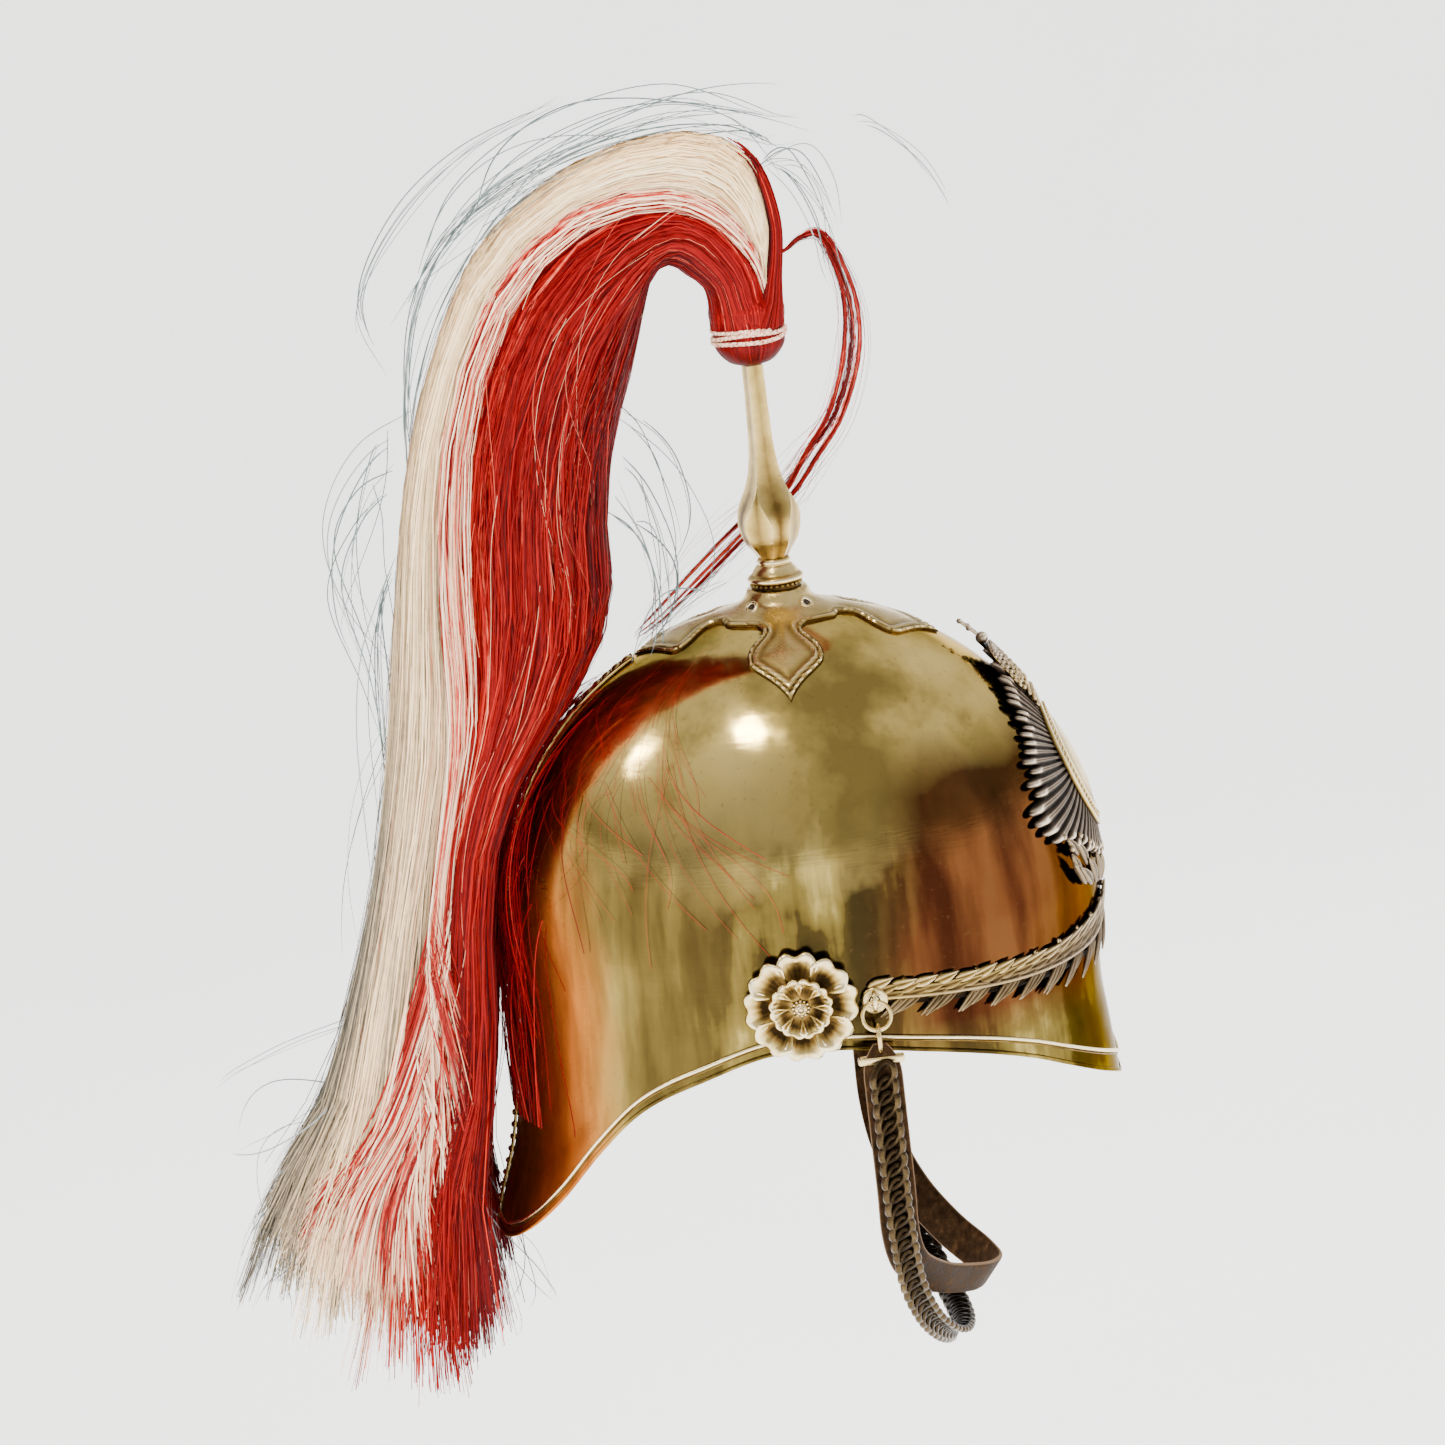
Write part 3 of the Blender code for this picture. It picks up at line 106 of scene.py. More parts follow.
# Sizes of the plume
PLUME_RISE = 0.0660
PLUME_FALL = 0.4440
PLUME_REACH = 0.2480
PLUME_HALF_WIDTH = 0.0500
HAIR_EASE = 0.2450
HAIR_ROOM = 0.0200
CUT_ENDS = 12.4
CORD_TURNS = 2.6
CORD_RADIUS = 0.0152
CORD_PLY = 0.00045

# Widths of hairs, in metres
HAIR_WIDTH = 0.00052
SEAM_HAIR_WIDTH = 0.00050
FAN_HAIR_WIDTH = 0.00056
CROSS_HAIR_WIDTH = 0.00015
DRAPED_HAIR_WIDTH = 0.00014
LOOSE_HAIR_WIDTH = 0.00028
HEAD_HAIR_WIDTH = 0.00050
STRAY_HAIR_WIDTHS = (0.00034, 0.00072)
STRAY_DRIFT_SCALE = 640.0

# The photograph's camera: place in metres, half the frame in pixels, distance and pixel in millimetres
CAMERA_PLACE = (-2.23827, 0.02879, 0.64750)
CAMERA_RISE = math.radians(13.3)
CAMERA_ROLL = math.radians(6.44)
HALF_FRAME = 722.5
CAMERA_DISTANCE = 2300.0
PIXEL = 0.42
LAMP_TARGET = (0.0, 0.04, 0.08)

# Floor below the helmet and the height over which its backdrop fades
FLOOR_DROP = 0.62
FLOOR_RADIUS = 2.6
BACKDROP_CURVE = 1.2
BACKDROP_FADE = (1.36, 0.55)

# Where the shell's painted reflection tones give way to one another, in metres, from none of the tone to all of
# it
SIDE_BELOW = (0.168, 0.112)
FRONT_REFLECTION_AHEAD = (0.006, -0.022)
FRONT_REFLECTION_ABOVE = (-0.010, 0.006)
FRONT_REFLECTION_BELOW = (0.134, 0.116)
TAN_BEHIND = (0.040, 0.078)
TAN_BELOW = (0.120, 0.070)
PLUME_REFLECTION_BEHIND = (0.104, 0.128)
PLUME_REFLECTION_BELOW = (0.110, 0.050)

# Steps of angle and height over which the shell's slope is measured
SLOPE_ANGLE = 0.002
SLOPE_HEIGHT = 0.0003


def curve_through(rows):
    """Reads a table by its first column, on a smooth curve through its rows."""
    rows = np.array(rows, dtype=float)
    places = rows[:, 0]
    slopes = np.gradient(rows, places, axis=0)

    def read(place, column=1):
        place = np.clip(place, places[0], places[-1])
        i = np.clip(np.searchsorted(places, place, side="right") - 1, 0, len(places) - 2)
        step = places[i + 1] - places[i]
        t = (place - places[i]) / step
        start = rows[i, column] * (2 * t**3 - 3 * t**2 + 1) + slopes[i, column] * step * (t**3 - 2 * t**2 + t)
        end = rows[i + 1, column] * (3 * t**2 - 2 * t**3) + slopes[i + 1, column] * step * (t**3 - t**2)
        return start + end

    return read


# Shares of the shell's length and width kept down the wall, by depth: front, side, back
WALL = curve_through(
    (
        (0.00, 1.000, 1.000, 1.000),
        (0.25, 0.984, 1.000, 1.005),
        (0.50, 0.974, 0.998, 1.036),
        (0.75, 0.990, 0.994, 1.083),
        (0.90, 1.000, 0.990, 1.135),
        (1.00, 1.005, 0.988, 1.165),
    )
)

# Lower edge, by degrees from the front: share of the peak's drop, share of the neck guard's drop
RIM = curve_through(
    (
        (0.0, -1.00, 0.00),
        (25.0, -0.71, 0.00),
        (37.0, -0.53, 0.00),
        (45.0, -0.40, 0.00),
        (70.0, -0.11, 0.00),
        (90.0, 0.02, 0.00),
        (100.0, 0.00, 0.01),
        (112.0, 0.00, -0.08),
        (128.0, 0.00, -0.27),
        (136.0, 0.00, -0.45),
        (146.0, 0.00, -0.70),
        (154.0, 0.00, -0.85),
        (167.0, 0.00, -0.99),
        (180.0, 0.00, -1.00),
    )
)

# Stand-off of the front plate by height
STAND_OFF = curve_through(
    (
        (0.0399, 0.00),
        (0.0850, 0.00),
        (0.1020, 0.02),
        (0.1160, 0.12),
        (0.1280, 0.25),
        (0.1409, 0.50),
        (0.1519, 0.85),
    )
)

# Plume by section: inner back and height, outer back and height, half width, split between red and white
PLUME_TABLE = (
    (0.062, 0.00, -0.064, 0.00, 0.30, 0.78),
    (0.090, 0.12, -0.072, 0.42, 0.32, 0.62),
    (0.118, 0.20, -0.032, 0.85, 0.36, 0.50),
    (0.150, 0.14, 0.080, 1.00, 0.42, 0.58),
    (0.176, -0.018, 0.266, 0.86, 0.50, 0.74),
    (0.210, -0.070, 0.436, 0.40, 0.58, 0.79),
    (0.250, -0.130, 0.544, -0.055, 0.64, 0.80),
    (0.274, -0.205, 0.605, -0.165, 0.68, 0.76),
    (0.284, -0.284, 0.641, -0.272, 0.71, 0.72),
    (0.352, -0.356, 0.669, -0.360, 0.74, 0.62),
    (0.468, -0.440, 0.700, -0.452, 0.77, 0.50),
    (0.530, -0.530, 0.740, -0.538, 0.80, 0.44),
    (0.546, -0.632, 0.802, -0.640, 0.85, 0.42),
    (0.572, -0.733, 0.866, -0.728, 0.90, 0.40),
    (0.622, -0.834, 0.948, -0.800, 0.96, 0.38),
    (0.641, -0.990, 1.004, -0.882, 1.00, 0.36),
    (0.640, -1.060, 1.035, -0.925, 1.03, 0.35),
)


def plume_height(share):
    return HEAD_TOP + 0.0006 + share * (PLUME_RISE if share > 0.0 else PLUME_FALL)


PLUME = curve_through(
    [(-1, 0.0150, HEAD_FOOT + 0.0155, -0.0150, HEAD_FOOT + 0.0155, 0.0150, 0.78)]
    + [
        (i, a * PLUME_REACH, plume_height(b), c * PLUME_REACH, plume_height(d), e * PLUME_HALF_WIDTH, f)
        for i, (a, b, c, d, e, f) in enumerate(PLUME_TABLE)
    ]
)
PLUME_END = len(PLUME_TABLE) - 2.0


def degrees_off(angle):
    """Degrees from the front or the top, the same on both sides."""
    return np.abs((np.degrees(angle) + 180.0) % 360.0 - 180.0)


def rim_height(angle):
    degrees = degrees_off(angle)
    return RIM(degrees, 1) * PEAK_DROP + RIM(degrees, 2) * NECK_GUARD_DROP


def skull_share(angle, height):
    """How much of the shell's full length and width is left at a height."""
    dome = np.sqrt(np.clip(1.0 - ((height - DOME_BASE) / DOME_RISE) ** 2, 0.0, 1.0))
    depth = np.clip((DOME_BASE - height) / (DOME_BASE - rim_height(angle)), 0.0, 1.0)
    lengthwise = np.where(np.cos(angle) < 0.0, WALL(depth, 3), WALL(depth, 1))
    wall = lengthwise * np.cos(angle) ** 2 + WALL(depth, 2) * np.sin(angle) ** 2
    return np.where(height >= DOME_BASE, dome, wall)


def skull_point(angle, height):
    share = skull_share(angle, height)
    across = -SKULL_HALF_WIDTH * share * np.sin(angle)
    back = SKULL_SET_BACK - SKULL_HALF_LENGTH * share * np.cos(angle)
    return np.stack([across, back, np.broadcast_to(height, np.shape(across))], axis=-1)


def unit(vectors):
    return vectors / np.maximum(np.linalg.norm(vectors, axis=-1, keepdims=True), 1e-12)


def once_round(steps):
    """Even angles once round, without the last."""
    return np.linspace(0.0, 2.0 * math.pi, steps, endpoint=False)


def run_along(line):
    """How far each point of a line is from its start, along it."""
    return np.concatenate([[0.0], np.cumsum(np.linalg.norm(np.diff(line, axis=0), axis=1))])


def lay(angle, height, proud):
    """Points over the shell's outer face. Angles run from the front towards the wearer's right."""
    angle, height, proud = np.broadcast_arrays(angle, height, proud)
    round_it = skull_point(angle + SLOPE_ANGLE, height) - skull_point(angle - SLOPE_ANGLE, height)
    up_it = skull_point(angle, height + SLOPE_HEIGHT) - skull_point(angle, height - SLOPE_HEIGHT)
    return skull_point(angle, height) + unit(np.cross(up_it, round_it)) * proud[..., None]


def dome_normal(points):
    scale = np.array([SKULL_HALF_WIDTH, SKULL_HALF_LENGTH, DOME_RISE]) ** 2
    return unit((points - np.array([0.0, SKULL_SET_BACK, DOME_BASE])) / scale)


def over_dome(x, y, proud):
    """Points above the dome, seen from above at x, y."""
    inside = 1.0 - (x / SKULL_HALF_WIDTH) ** 2 - ((y - SKULL_SET_BACK) / SKULL_HALF_LENGTH) ** 2
    points = np.stack([x, y, DOME_BASE + DOME_RISE * np.sqrt(np.clip(inside, 0.0, 1.0))], axis=-1)
    return points + dome_normal(points) * np.asarray(proud)[..., None]


def before_dome(x, z, proud):
    """Points ahead of the front plate's back: across, height, and forward from its seat."""
    up = (z - DOME_BASE) / DOME_RISE
    inside = 1.0 - (x / SKULL_HALF_WIDTH) ** 2 - up**2
    back = SKULL_SET_BACK - SKULL_HALF_LENGTH * np.sqrt(np.clip(inside, 0.0, 1.0))
    points = np.stack([x, back, z], axis=-1)
    slope = np.maximum(np.abs(dome_normal(points)[..., 1]), 0.2)
    seat = RAY_SEAT / slope + STAND_OFF(z) * CROWN_STAND_OFF + RAY_SIDE_LIFT * (x / RAY_REACH) ** 2
    points[..., 1] -= seat + proud
    return points


class Shade:
    """A socket of a finish, so that its sums read as plain expressions."""

    def __init__(self, finish, socket):
        self.finish = finish
        self.socket = socket

    def sum(self, operation, first, second):
        return self.finish.node("ShaderNodeMath", {"operation": operation}, {0: first, 1: second})

    def __add__(self, other):
        return self.sum("ADD", self, other)

    def __sub__(self, other):
        return self.sum("SUBTRACT", self, other)

    def __rsub__(self, other):
        return self.sum("SUBTRACT", other, self)

    def __mul__(self, other):
        return self.sum("MULTIPLY", self, other)

    __radd__ = __add__
    __rmul__ = __mul__


class Finish:
    """A material on one Principled shader. Constants go straight on its sockets. The stage has no slot."""

    def __init__(self, name, slot, constants):
        self.material = bpy.data.materials.new(name)
        self.material.use_nodes = True
        self.slot = slot
        self.tree = self.material.node_tree
        self.shader = self.tree.nodes["Principled BSDF"]
        for socket, value in constants.items():
            self.shader.inputs[socket].default_value = value

    def node(self, kind, settings, sockets, output=0):
        made = self.tree.nodes.new(kind)
        for key, value in settings.items():
            if key == "stops":
                self.set_stops(made.color_ramp.elements, value)
            else:
                setattr(made, key, value)
        for key, value in sockets.items():
            if isinstance(value, Shade):
                self.tree.links.new(value.socket, made.inputs[key])
            else:
                made.inputs[key].default_value = value
        return Shade(self, made.outputs[output])

    @staticmethod
    def set_stops(elements, stops):
        while len(elements) < len(stops):
            elements.new(1.0)
        for element, (place, colour) in zip(elements, stops):
            element.position = place
            element.color = (*colour, 1.0)

    def place(self, stretch=(1.0, 1.0, 1.0)):
        """Places on the piece in metres, stretched along each axis."""
        spot = self.node("ShaderNodeTexCoord", {}, {}, 3)
        return self.node("ShaderNodeMapping", {}, {"Vector": spot, "Scale": stretch})

    def cloud(self, scale, detail=3.0, stretch=(1.0, 1.0, 1.0), rough=0.55):
        sockets = {"Vector": self.place(stretch), "Scale": scale, "Detail": detail, "Roughness": rough}
        return self.node("ShaderNodeTexNoise", {}, sockets)

    def band(self, value, low, high, start=0.0, end=1.0):
        """The value spread from low..high to start..end, and held there."""
        sockets = {"Value": value, "From Min": low, "From Max": high, "To Min": start, "To Max": end}
        return self.node("ShaderNodeMapRange", {"clamp": True}, sockets)

    def painted(self, name):
        """A number kept on the piece's points."""
        return self.node("ShaderNodeAttribute", {"attribute_name": name}, {}, 2)

    def ramp(self, value, stops):
        return self.node("ShaderNodeValToRGB", {"stops": stops}, {"Fac": value})

    def blend(self, mask, first, second):
        settings = {"data_type": "RGBA", "blend_type": "MIX"}
        return self.node("ShaderNodeMix", settings, {"Factor": mask, 6: first, 7: second}, 2)

    def feed(self, socket, value):
        self.tree.links.new(value.socket, self.shader.inputs[socket])

    def bump(self, height, depth, strength=1.0):
        sockets = {"Height": height, "Distance": depth, "Strength": strength}
        self.feed("Normal", self.node("ShaderNodeBump", {}, sockets))


def rgba(colour):
    return (*colour, 1.0)


def shell_brass():
    """Hand-polished sheet with painted reflections in its colour: bright dome, olive sides, brown by the
    temples, tan and a red reflection of the plume behind.
    """
    constants = {"Metallic": 1.0, "Specular Tint": rgba((0.58, 0.49, 0.36))}
    made = Finish("polished_shell_brass", "skull_brass", constants)
    drift = made.cloud(11.0, 2.0)
    patch = made.cloud(26.0, 4.0)
    streak = made.cloud(46.0, 4.0, (1.0, 1.0, 0.16))
    speck = made.cloud(420.0, 3.0)
    back = made.node("ShaderNodeSeparateXYZ", {}, {0: made.place()}, 1)
    height = made.node("ShaderNodeSeparateXYZ", {}, {0: made.place()}, 2)
    worn = streak * 0.62 + patch * 0.38
    # Painted reflections: the dome's bright tones and the sides' darker streaked tones stand for surroundings
    # mirrored in the brass.
    dome = made.ramp(
        patch * 0.6 + drift * 0.4,
        (
            (0.38, (0.94, 0.70, 0.24)),
            (0.49, (0.66, 0.48, 0.14)),
            (0.54, (0.44, 0.32, 0.085)),
            (0.62, (0.26, 0.185, 0.048)),
        ),
    )
    side = made.ramp(
        worn,
        (
            (0.40, (0.34, 0.26, 0.075)),
            (0.44, (0.17, 0.125, 0.030)),
            (0.505, (0.095, 0.066, 0.015)),
            (0.52, (0.050, 0.034, 0.009)),
            (0.60, (0.028, 0.019, 0.006)),
        ),
    )
    low = made.band(height + patch * 0.10, *SIDE_BELOW)
    colour = made.blend(low, dome, side)
    # Painted reflection: dark red-brown on the front by the temples.
    ahead = made.band(back + drift * 0.05, *FRONT_REFLECTION_AHEAD)
    foot = made.band(height, *FRONT_REFLECTION_ABOVE)
    top = made.band(height + patch * 0.03, *FRONT_REFLECTION_BELOW)
    brown = ((0.36, (0.105, 0.033, 0.010)), (0.50, (0.060, 0.017, 0.006)), (0.62, (0.030, 0.008, 0.003)))
    front_reflection = made.ramp(streak, brown)
    colour = made.blend(ahead * foot * top * 0.95, colour, front_reflection)
    # Painted reflection: olive tan low on the back.
    behind = made.band(back + patch * 0.03, *TAN_BEHIND) * made.band(height, *TAN_BELOW)
    olive = ((0.36, (0.29, 0.21, 0.056)), (0.50, (0.160, 0.112, 0.028)), (0.64, (0.090, 0.060, 0.015)))
    tan = made.ramp(streak, olive)
    colour = made.blend(behind * 0.85, colour, tan)
    # Painted reflection of the red plume on the back, where the roughness is raised as well.
    rear = made.band(back + drift * 0.04, *PLUME_REFLECTION_BEHIND) * made.band(height, *PLUME_REFLECTION_BELOW)
    plume_reflection = made.ramp(streak, ((0.40, (0.62, 0.190, 0.026)), (0.60, (0.36, 0.095, 0.012))))
    colour = made.blend(rear * 0.9, colour, plume_reflection)
    grime = made.band(speck, 0.62, 0.74)
    made.feed("Base Color", made.blend(grime * 0.30, colour, rgba((0.10, 0.055, 0.018))))
    scratch = made.cloud(260.0, 5.0, (1.0, 0.25, 3.2))
    smear = made.band(worn, 0.42, 0.60)
    made.feed("Roughness", made.band(scratch, 0.35, 0.75, 0.0, 0.05) + smear * 0.07 + rear * 0.20 + 0.09)
    made.bump(drift + made.cloud(48.0, 1.0) * 0.30 + scratch * 0.012, 0.0026, 0.8)
    return made


def mount_gilt():
    """Gilt castings: bright on what stands up, brown in the hollows."""
    made = Finish("gilt_mounts", "gilt_mounts", {"Metallic": 1.0})
    raised = made.painted("relief")
    grain = made.cloud(520.0, 4.0)
    worn = raised * 0.80 + made.cloud(90.0, 3.0) * 0.40
    colour = made.ramp(
        worn,
        (
            (0.22, (0.022, 0.012, 0.004)),
            (0.40, (0.16, 0.092, 0.024)),
            (0.62, (0.50, 0.35, 0.105)),
            (0.82, (0.82, 0.62, 0.27)),
            (1.00, (0.95, 0.80, 0.48)),
        ),
    )
    made.feed("Base Color", colour)
    made.feed("Roughness", made.band(worn, 0.2, 0.9, 0.42, 0.16) + grain * 0.06)
    made.bump(grain, 0.0003, 0.5)
    return made


def plate_bronze():
    """Gilding worn to grey bronze, with pale rubbed edges and near-black hollows."""
    made = Finish("worn_plate_bronze", "plate_bronze", {"Metallic": 1.0})
    raised = made.painted("relief")
    gold = made.painted("gold")
    grain = made.cloud(600.0, 4.0)
    worn = raised * 0.9 + made.cloud(120.0, 3.0) * 0.25
    grey = made.ramp(
        worn,
        (
            (0.14, (0.010, 0.007, 0.005)),
            (0.40, (0.085, 0.060, 0.042)),
            (0.68, (0.34, 0.26, 0.19)),
            (0.96, (0.86, 0.72, 0.54)),
        ),
    )
    gilt = made.ramp(
        worn,
        (
            (0.14, (0.020, 0.011, 0.004)),
            (0.40, (0.16, 0.10, 0.030)),
            (0.68, (0.48, 0.34, 0.12)),
            (0.96, (0.88, 0.70, 0.38)),
        ),
    )
    made.feed("Base Color", made.blend(gold, grey, gilt))
    made.feed("Roughness", made.band(worn, 0.2, 0.9, 0.48, 0.22) + grain * 0.06)
    made.bump(grain, 0.0003, 0.6)
    return made


def hair_finish(name, slot, head, tail, gloss):
    """Hair whose colour runs from strand to strand, and from the stops at its head to those at its tail."""
    made = Finish(name, slot, {"Specular IOR Level": gloss})
    tone = made.painted("tone")
    along = made.painted("along")
    shade = tone * 0.80 + made.cloud(300.0, 2.0) * 0.20
    upper = made.ramp(shade, head)
    lower = made.ramp(shade, tail)
    made.feed("Base Color", made.blend(made.band(along, 0.34, 0.80), upper, lower))
    made.feed("Roughness", tone * 0.12 + 0.42)
    return made


def white_hair():
    return hair_finish(
        "cream_white_horsehair",
        "white_hair",
        (
            (0.08, (0.98, 0.80, 0.50)),
            (0.28, (0.92, 0.64, 0.33)),
            (0.46, (0.62, 0.38, 0.16)),
            (0.66, (0.20, 0.11, 0.050)),
        ),
        (
            (0.08, (0.92, 0.66, 0.39)),
            (0.26, (0.58, 0.42, 0.24)),
            (0.42, (0.27, 0.21, 0.13)),
            (0.62, (0.065, 0.056, 0.042)),
        ),
        0.20,
    )


def red_hair():
    return hair_finish(
        "red_horsehair",
        "red_hair",
        (
            (0.08, (0.030, 0.0006, 0.0012)),
            (0.34, (0.130, 0.0012, 0.0018)),
            (0.60, (0.260, 0.0024, 0.0026)),
            (0.80, (0.440, 0.0140, 0.0100)),
            (0.95, (0.780, 0.230, 0.140)),
        ),
        (
            (0.08, (0.040, 0.0006, 0.0016)),
            (0.34, (0.150, 0.0014, 0.0022)),
            (0.60, (0.340, 0.0060, 0.0040)),
            (0.80, (0.600, 0.0400, 0.0180)),
            (0.95, (0.820, 0.260, 0.150)),
        ),
        0.10,
    )


def mixed_hair():
    stops = (
        (0.10, (0.120, 0.0012, 0.0018)),
        (0.30, (0.320, 0.0060, 0.0050)),
        (0.48, (0.700, 0.1300, 0.0800)),
        (0.66, (0.880, 0.5200, 0.3200)),
        (0.90, (0.940, 0.7400, 0.5200)),
    )
    return hair_finish("mixed_horsehair", "white_hair", stops, stops, 0.14)


def stray_hair():
    stops = ((0.05, (0.30, 0.33, 0.32)), (0.50, (0.13, 0.17, 0.17)), (0.95, (0.055, 0.080, 0.080)))
    return hair_finish("grey_stray_hair", "white_hair", stops, stops, 0.10)


def strap_leather():
    made = Finish("brown_strap_leather", "strap_leather", {"Specular IOR Level": 0.02})
    pores = made.node("ShaderNodeTexVoronoi", {"feature": "F1"}, {"Vector": made.place(), "Scale": 1400.0})
    crease = made.cloud(260.0, 5.0)
    edge = made.painted("relief")
    browns = ((0.30, (0.010, 0.005, 0.002)), (0.58, (0.034, 0.017, 0.007)), (0.80, (0.090, 0.048, 0.020)))
    hide = made.ramp(crease, browns)
    made.feed("Base Color", made.blend(edge * 0.7, hide, rgba((0.20, 0.125, 0.070))))
    made.feed("Roughness", made.band(crease, 0.3, 0.7, 0.38, 0.62))
    made.bump(pores * 0.5 + crease, 0.0005, 0.8)
    return made


def chain_bronze():
    made = Finish("dark_chain_brass", "chain_metal", {"Metallic": 1.0})
    rub = made.cloud(240.0, 3.0) * 0.45 + made.painted("relief") * 0.55
    colour = made.ramp(
        rub,
        (
            (0.30, (0.006, 0.004, 0.002)),
            (0.52, (0.030, 0.019, 0.009)),
            (0.74, (0.078, 0.052, 0.024)),
            (0.94, (0.30, 0.22, 0.115)),
        ),
    )
    made.feed("Base Color", colour)
    made.feed("Roughness", made.band(rub, 0.3, 0.8, 0.46, 0.20))
    made.bump(made.cloud(700.0, 3.0), 0.0004, 0.6)
    return made


def binding_cord():
    made = Finish("pale_binding_cord", "binding_cord", {"Specular IOR Level": 0.2})
    ply = made.cloud(900.0, 3.0)
    pinks = ((0.34, (0.30, 0.07, 0.05)), (0.50, (0.80, 0.46, 0.32)), (0.66, (0.95, 0.80, 0.62)))
    made.feed("Base Color", made.ramp(ply, pinks))
    made.feed("Roughness", ply * 0.2 + 0.6)
    made.bump(ply, 0.0006, 0.9)
    return made


def vent_black():
    made = Finish("vent_shadow", "gilt_mounts", {"Metallic": 0.0})
    # Painted shade: the near-black mottled inside of each vent hole.
    hole_shade = made.cloud(800.0, 2.0)
    made.feed("Base Color", made.ramp(hole_shade, ((0.3, (0.010, 0.006, 0.004)), (0.8, (0.045, 0.026, 0.016)))))
    made.feed("Roughness", hole_shade * 0.2 + 0.7)
    return made


def placed(name, data):
    """A new object in the scene."""
    obj = bpy.data.objects.new(name, data)
    bpy.context.scene.collection.objects.link(obj)
    return obj


def piece(name, points, faces, finish, stands_for=(), painted=None, crease=None):
    """A mesh of the helmet, with numbers painted on its points, that stands for these solids."""
    mesh = bpy.data.meshes.new(name)
    points = np.asarray(points, dtype=np.float32).reshape(-1, 3)
    mesh.from_pydata(points.tolist(), [], [tuple(int(i) for i in face) for face in faces])
    return settle(mesh, name, finish, stands_for, painted or {}, crease)


def settle(mesh, name, finish, stands_for, painted, crease):
    """Paints a mesh, gives it its finish and puts it on the helmet."""
    for key in ("relief", "gold", "tone", "along"):
        if key in painted:
            layer = mesh.attributes.new(key, "FLOAT", "POINT")
            layer.data.foreach_set("value", np.asarray(painted[key], dtype=np.float32).ravel())
    mesh.materials.append(finish.material)
    mesh.shade_smooth()
    if crease:
        mesh.set_sharp_from_angle(angle=math.radians(crease))
    obj = placed(name, mesh)
    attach(obj, "root")
    if stands_for:
        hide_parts(*stands_for)
    return obj


def thicken(obj, thickness, offset=-1.0):
    wall = obj.modifiers.new("thickness", "SOLIDIFY")
    wall.thickness = thickness
    wall.offset = offset


def face_outward(obj, probe):
    """Turns a form's faces over if this one of them looks inward."""
    face = obj.data.polygons[probe]
    if face.normal.dot(face.center) < 0.0:
        obj.data.flip_normals()


def grid(rows, columns, closed=False, first=0):
    """Quads of a sheet of rows by columns of points, joined round where it is closed."""
    i, j = np.meshgrid(np.arange(rows - 1), np.arange(columns if closed else columns - 1), indexing="ij")
    following = (j + 1) % columns
    a = first + i * columns + j
    b = first + i * columns + following
    return np.stack([a, b, b + columns, a + columns], axis=-1).reshape(-1, 4).tolist()


def turned_over(faces):
    return [face[::-1] for face in faces]


def end_caps(rows, columns):
    """The two end faces of a closed sheet of rows by columns of points."""
    return [list(range(columns))[::-1], list(range((rows - 1) * columns, rows * columns))]


def sweep(route, sections, closed=False):
    """A tube along the route, from the offsets of its section at each of its points."""
    route = np.asarray(route, dtype=float)
    count = len(route)
    ahead = np.roll(route, -1, axis=0) - np.roll(route, 1, axis=0)
    if not closed:
        ahead[0] = route[1] - route[0]
        ahead[-1] = route[-1] - route[-2]
    ahead = unit(ahead)
    side = np.cross(ahead[0], (0.0, 0.0, 1.0))
    if np.linalg.norm(side) < 0.1:
        side = np.cross(ahead[0], (0.0, 1.0, 0.0))
    sides = []
    for direction in ahead:
        side = unit(side - direction * np.dot(side, direction))
        sides.append(side)
    sides = np.array(sides)
    ups = np.cross(sides, ahead)
    sections = np.broadcast_to(sections, (count, *np.shape(sections)[-2:]))
    points = route[:, None] + sides[:, None] * sections[..., :1] + ups[:, None] * sections[..., 1:]
    around = sections.shape[1]
    faces = grid(count, around, closed=True)
    if closed:
        faces += [
            [(count - 1) * around + j, (count - 1) * around + (j + 1) % around, (j + 1) % around, j]
            for j in range(around)
        ]
    else:
        faces += end_caps(count, around)
    return points.reshape(-1, 3), faces


def round_section(radius, sides=10):
    turn = once_round(sides)
    return np.stack([np.cos(turn), np.sin(turn)], axis=-1) * radius


def turned(profile, steps):
    """Points and faces of a profile of (radius, height) turned about the spike."""
    profile = np.array(profile, dtype=float)
    turn = once_round(steps)
    x = profile[:, :1] * np.cos(turn)
    y = profile[:, :1] * np.sin(turn)
    z = np.broadcast_to(profile[:, 1:], x.shape)
    return np.stack([x, y, z], axis=-1).reshape(-1, 3), grid(len(profile), steps, closed=True)


def smooth_outline(points, steps):
    """A closed smooth line through the points, with a corner where a point is given twice."""
    points = np.array(points, dtype=float)
    count = len(points)
    line = []
    for i in range(count):
        p0, p1, p2, p3 = (points[(i + k) % count] for k in (-1, 0, 1, 2))
        if np.allclose(p1, p2):
            continue
        for t in np.linspace(0.0, 1.0, steps, endpoint=False):
            line.append(
                0.5
                * (
                    2.0 * p1
                    + (p2 - p0) * t
                    + (2.0 * p0 - 5.0 * p1 + 4.0 * p2 - p3) * t**2
                    + (3.0 * p1 - p0 - 3.0 * p2 + p3) * t**3
                )
            )
    return np.array(line)


def edge_distance(points, outline):
    """How far each flat point is from the outline."""
    starts = outline
    spans = np.roll(outline, -1, axis=0) - outline
    squares = np.maximum((spans**2).sum(-1), 1e-18)
    found = np.full(len(points), np.inf)
    for start, span, square in zip(starts, spans, squares):
        t = np.clip(((points - start) @ span) / square, 0.0, 1.0)
        found = np.minimum(found, np.linalg.norm(points - start - t[:, None] * span, axis=-1))
    return found


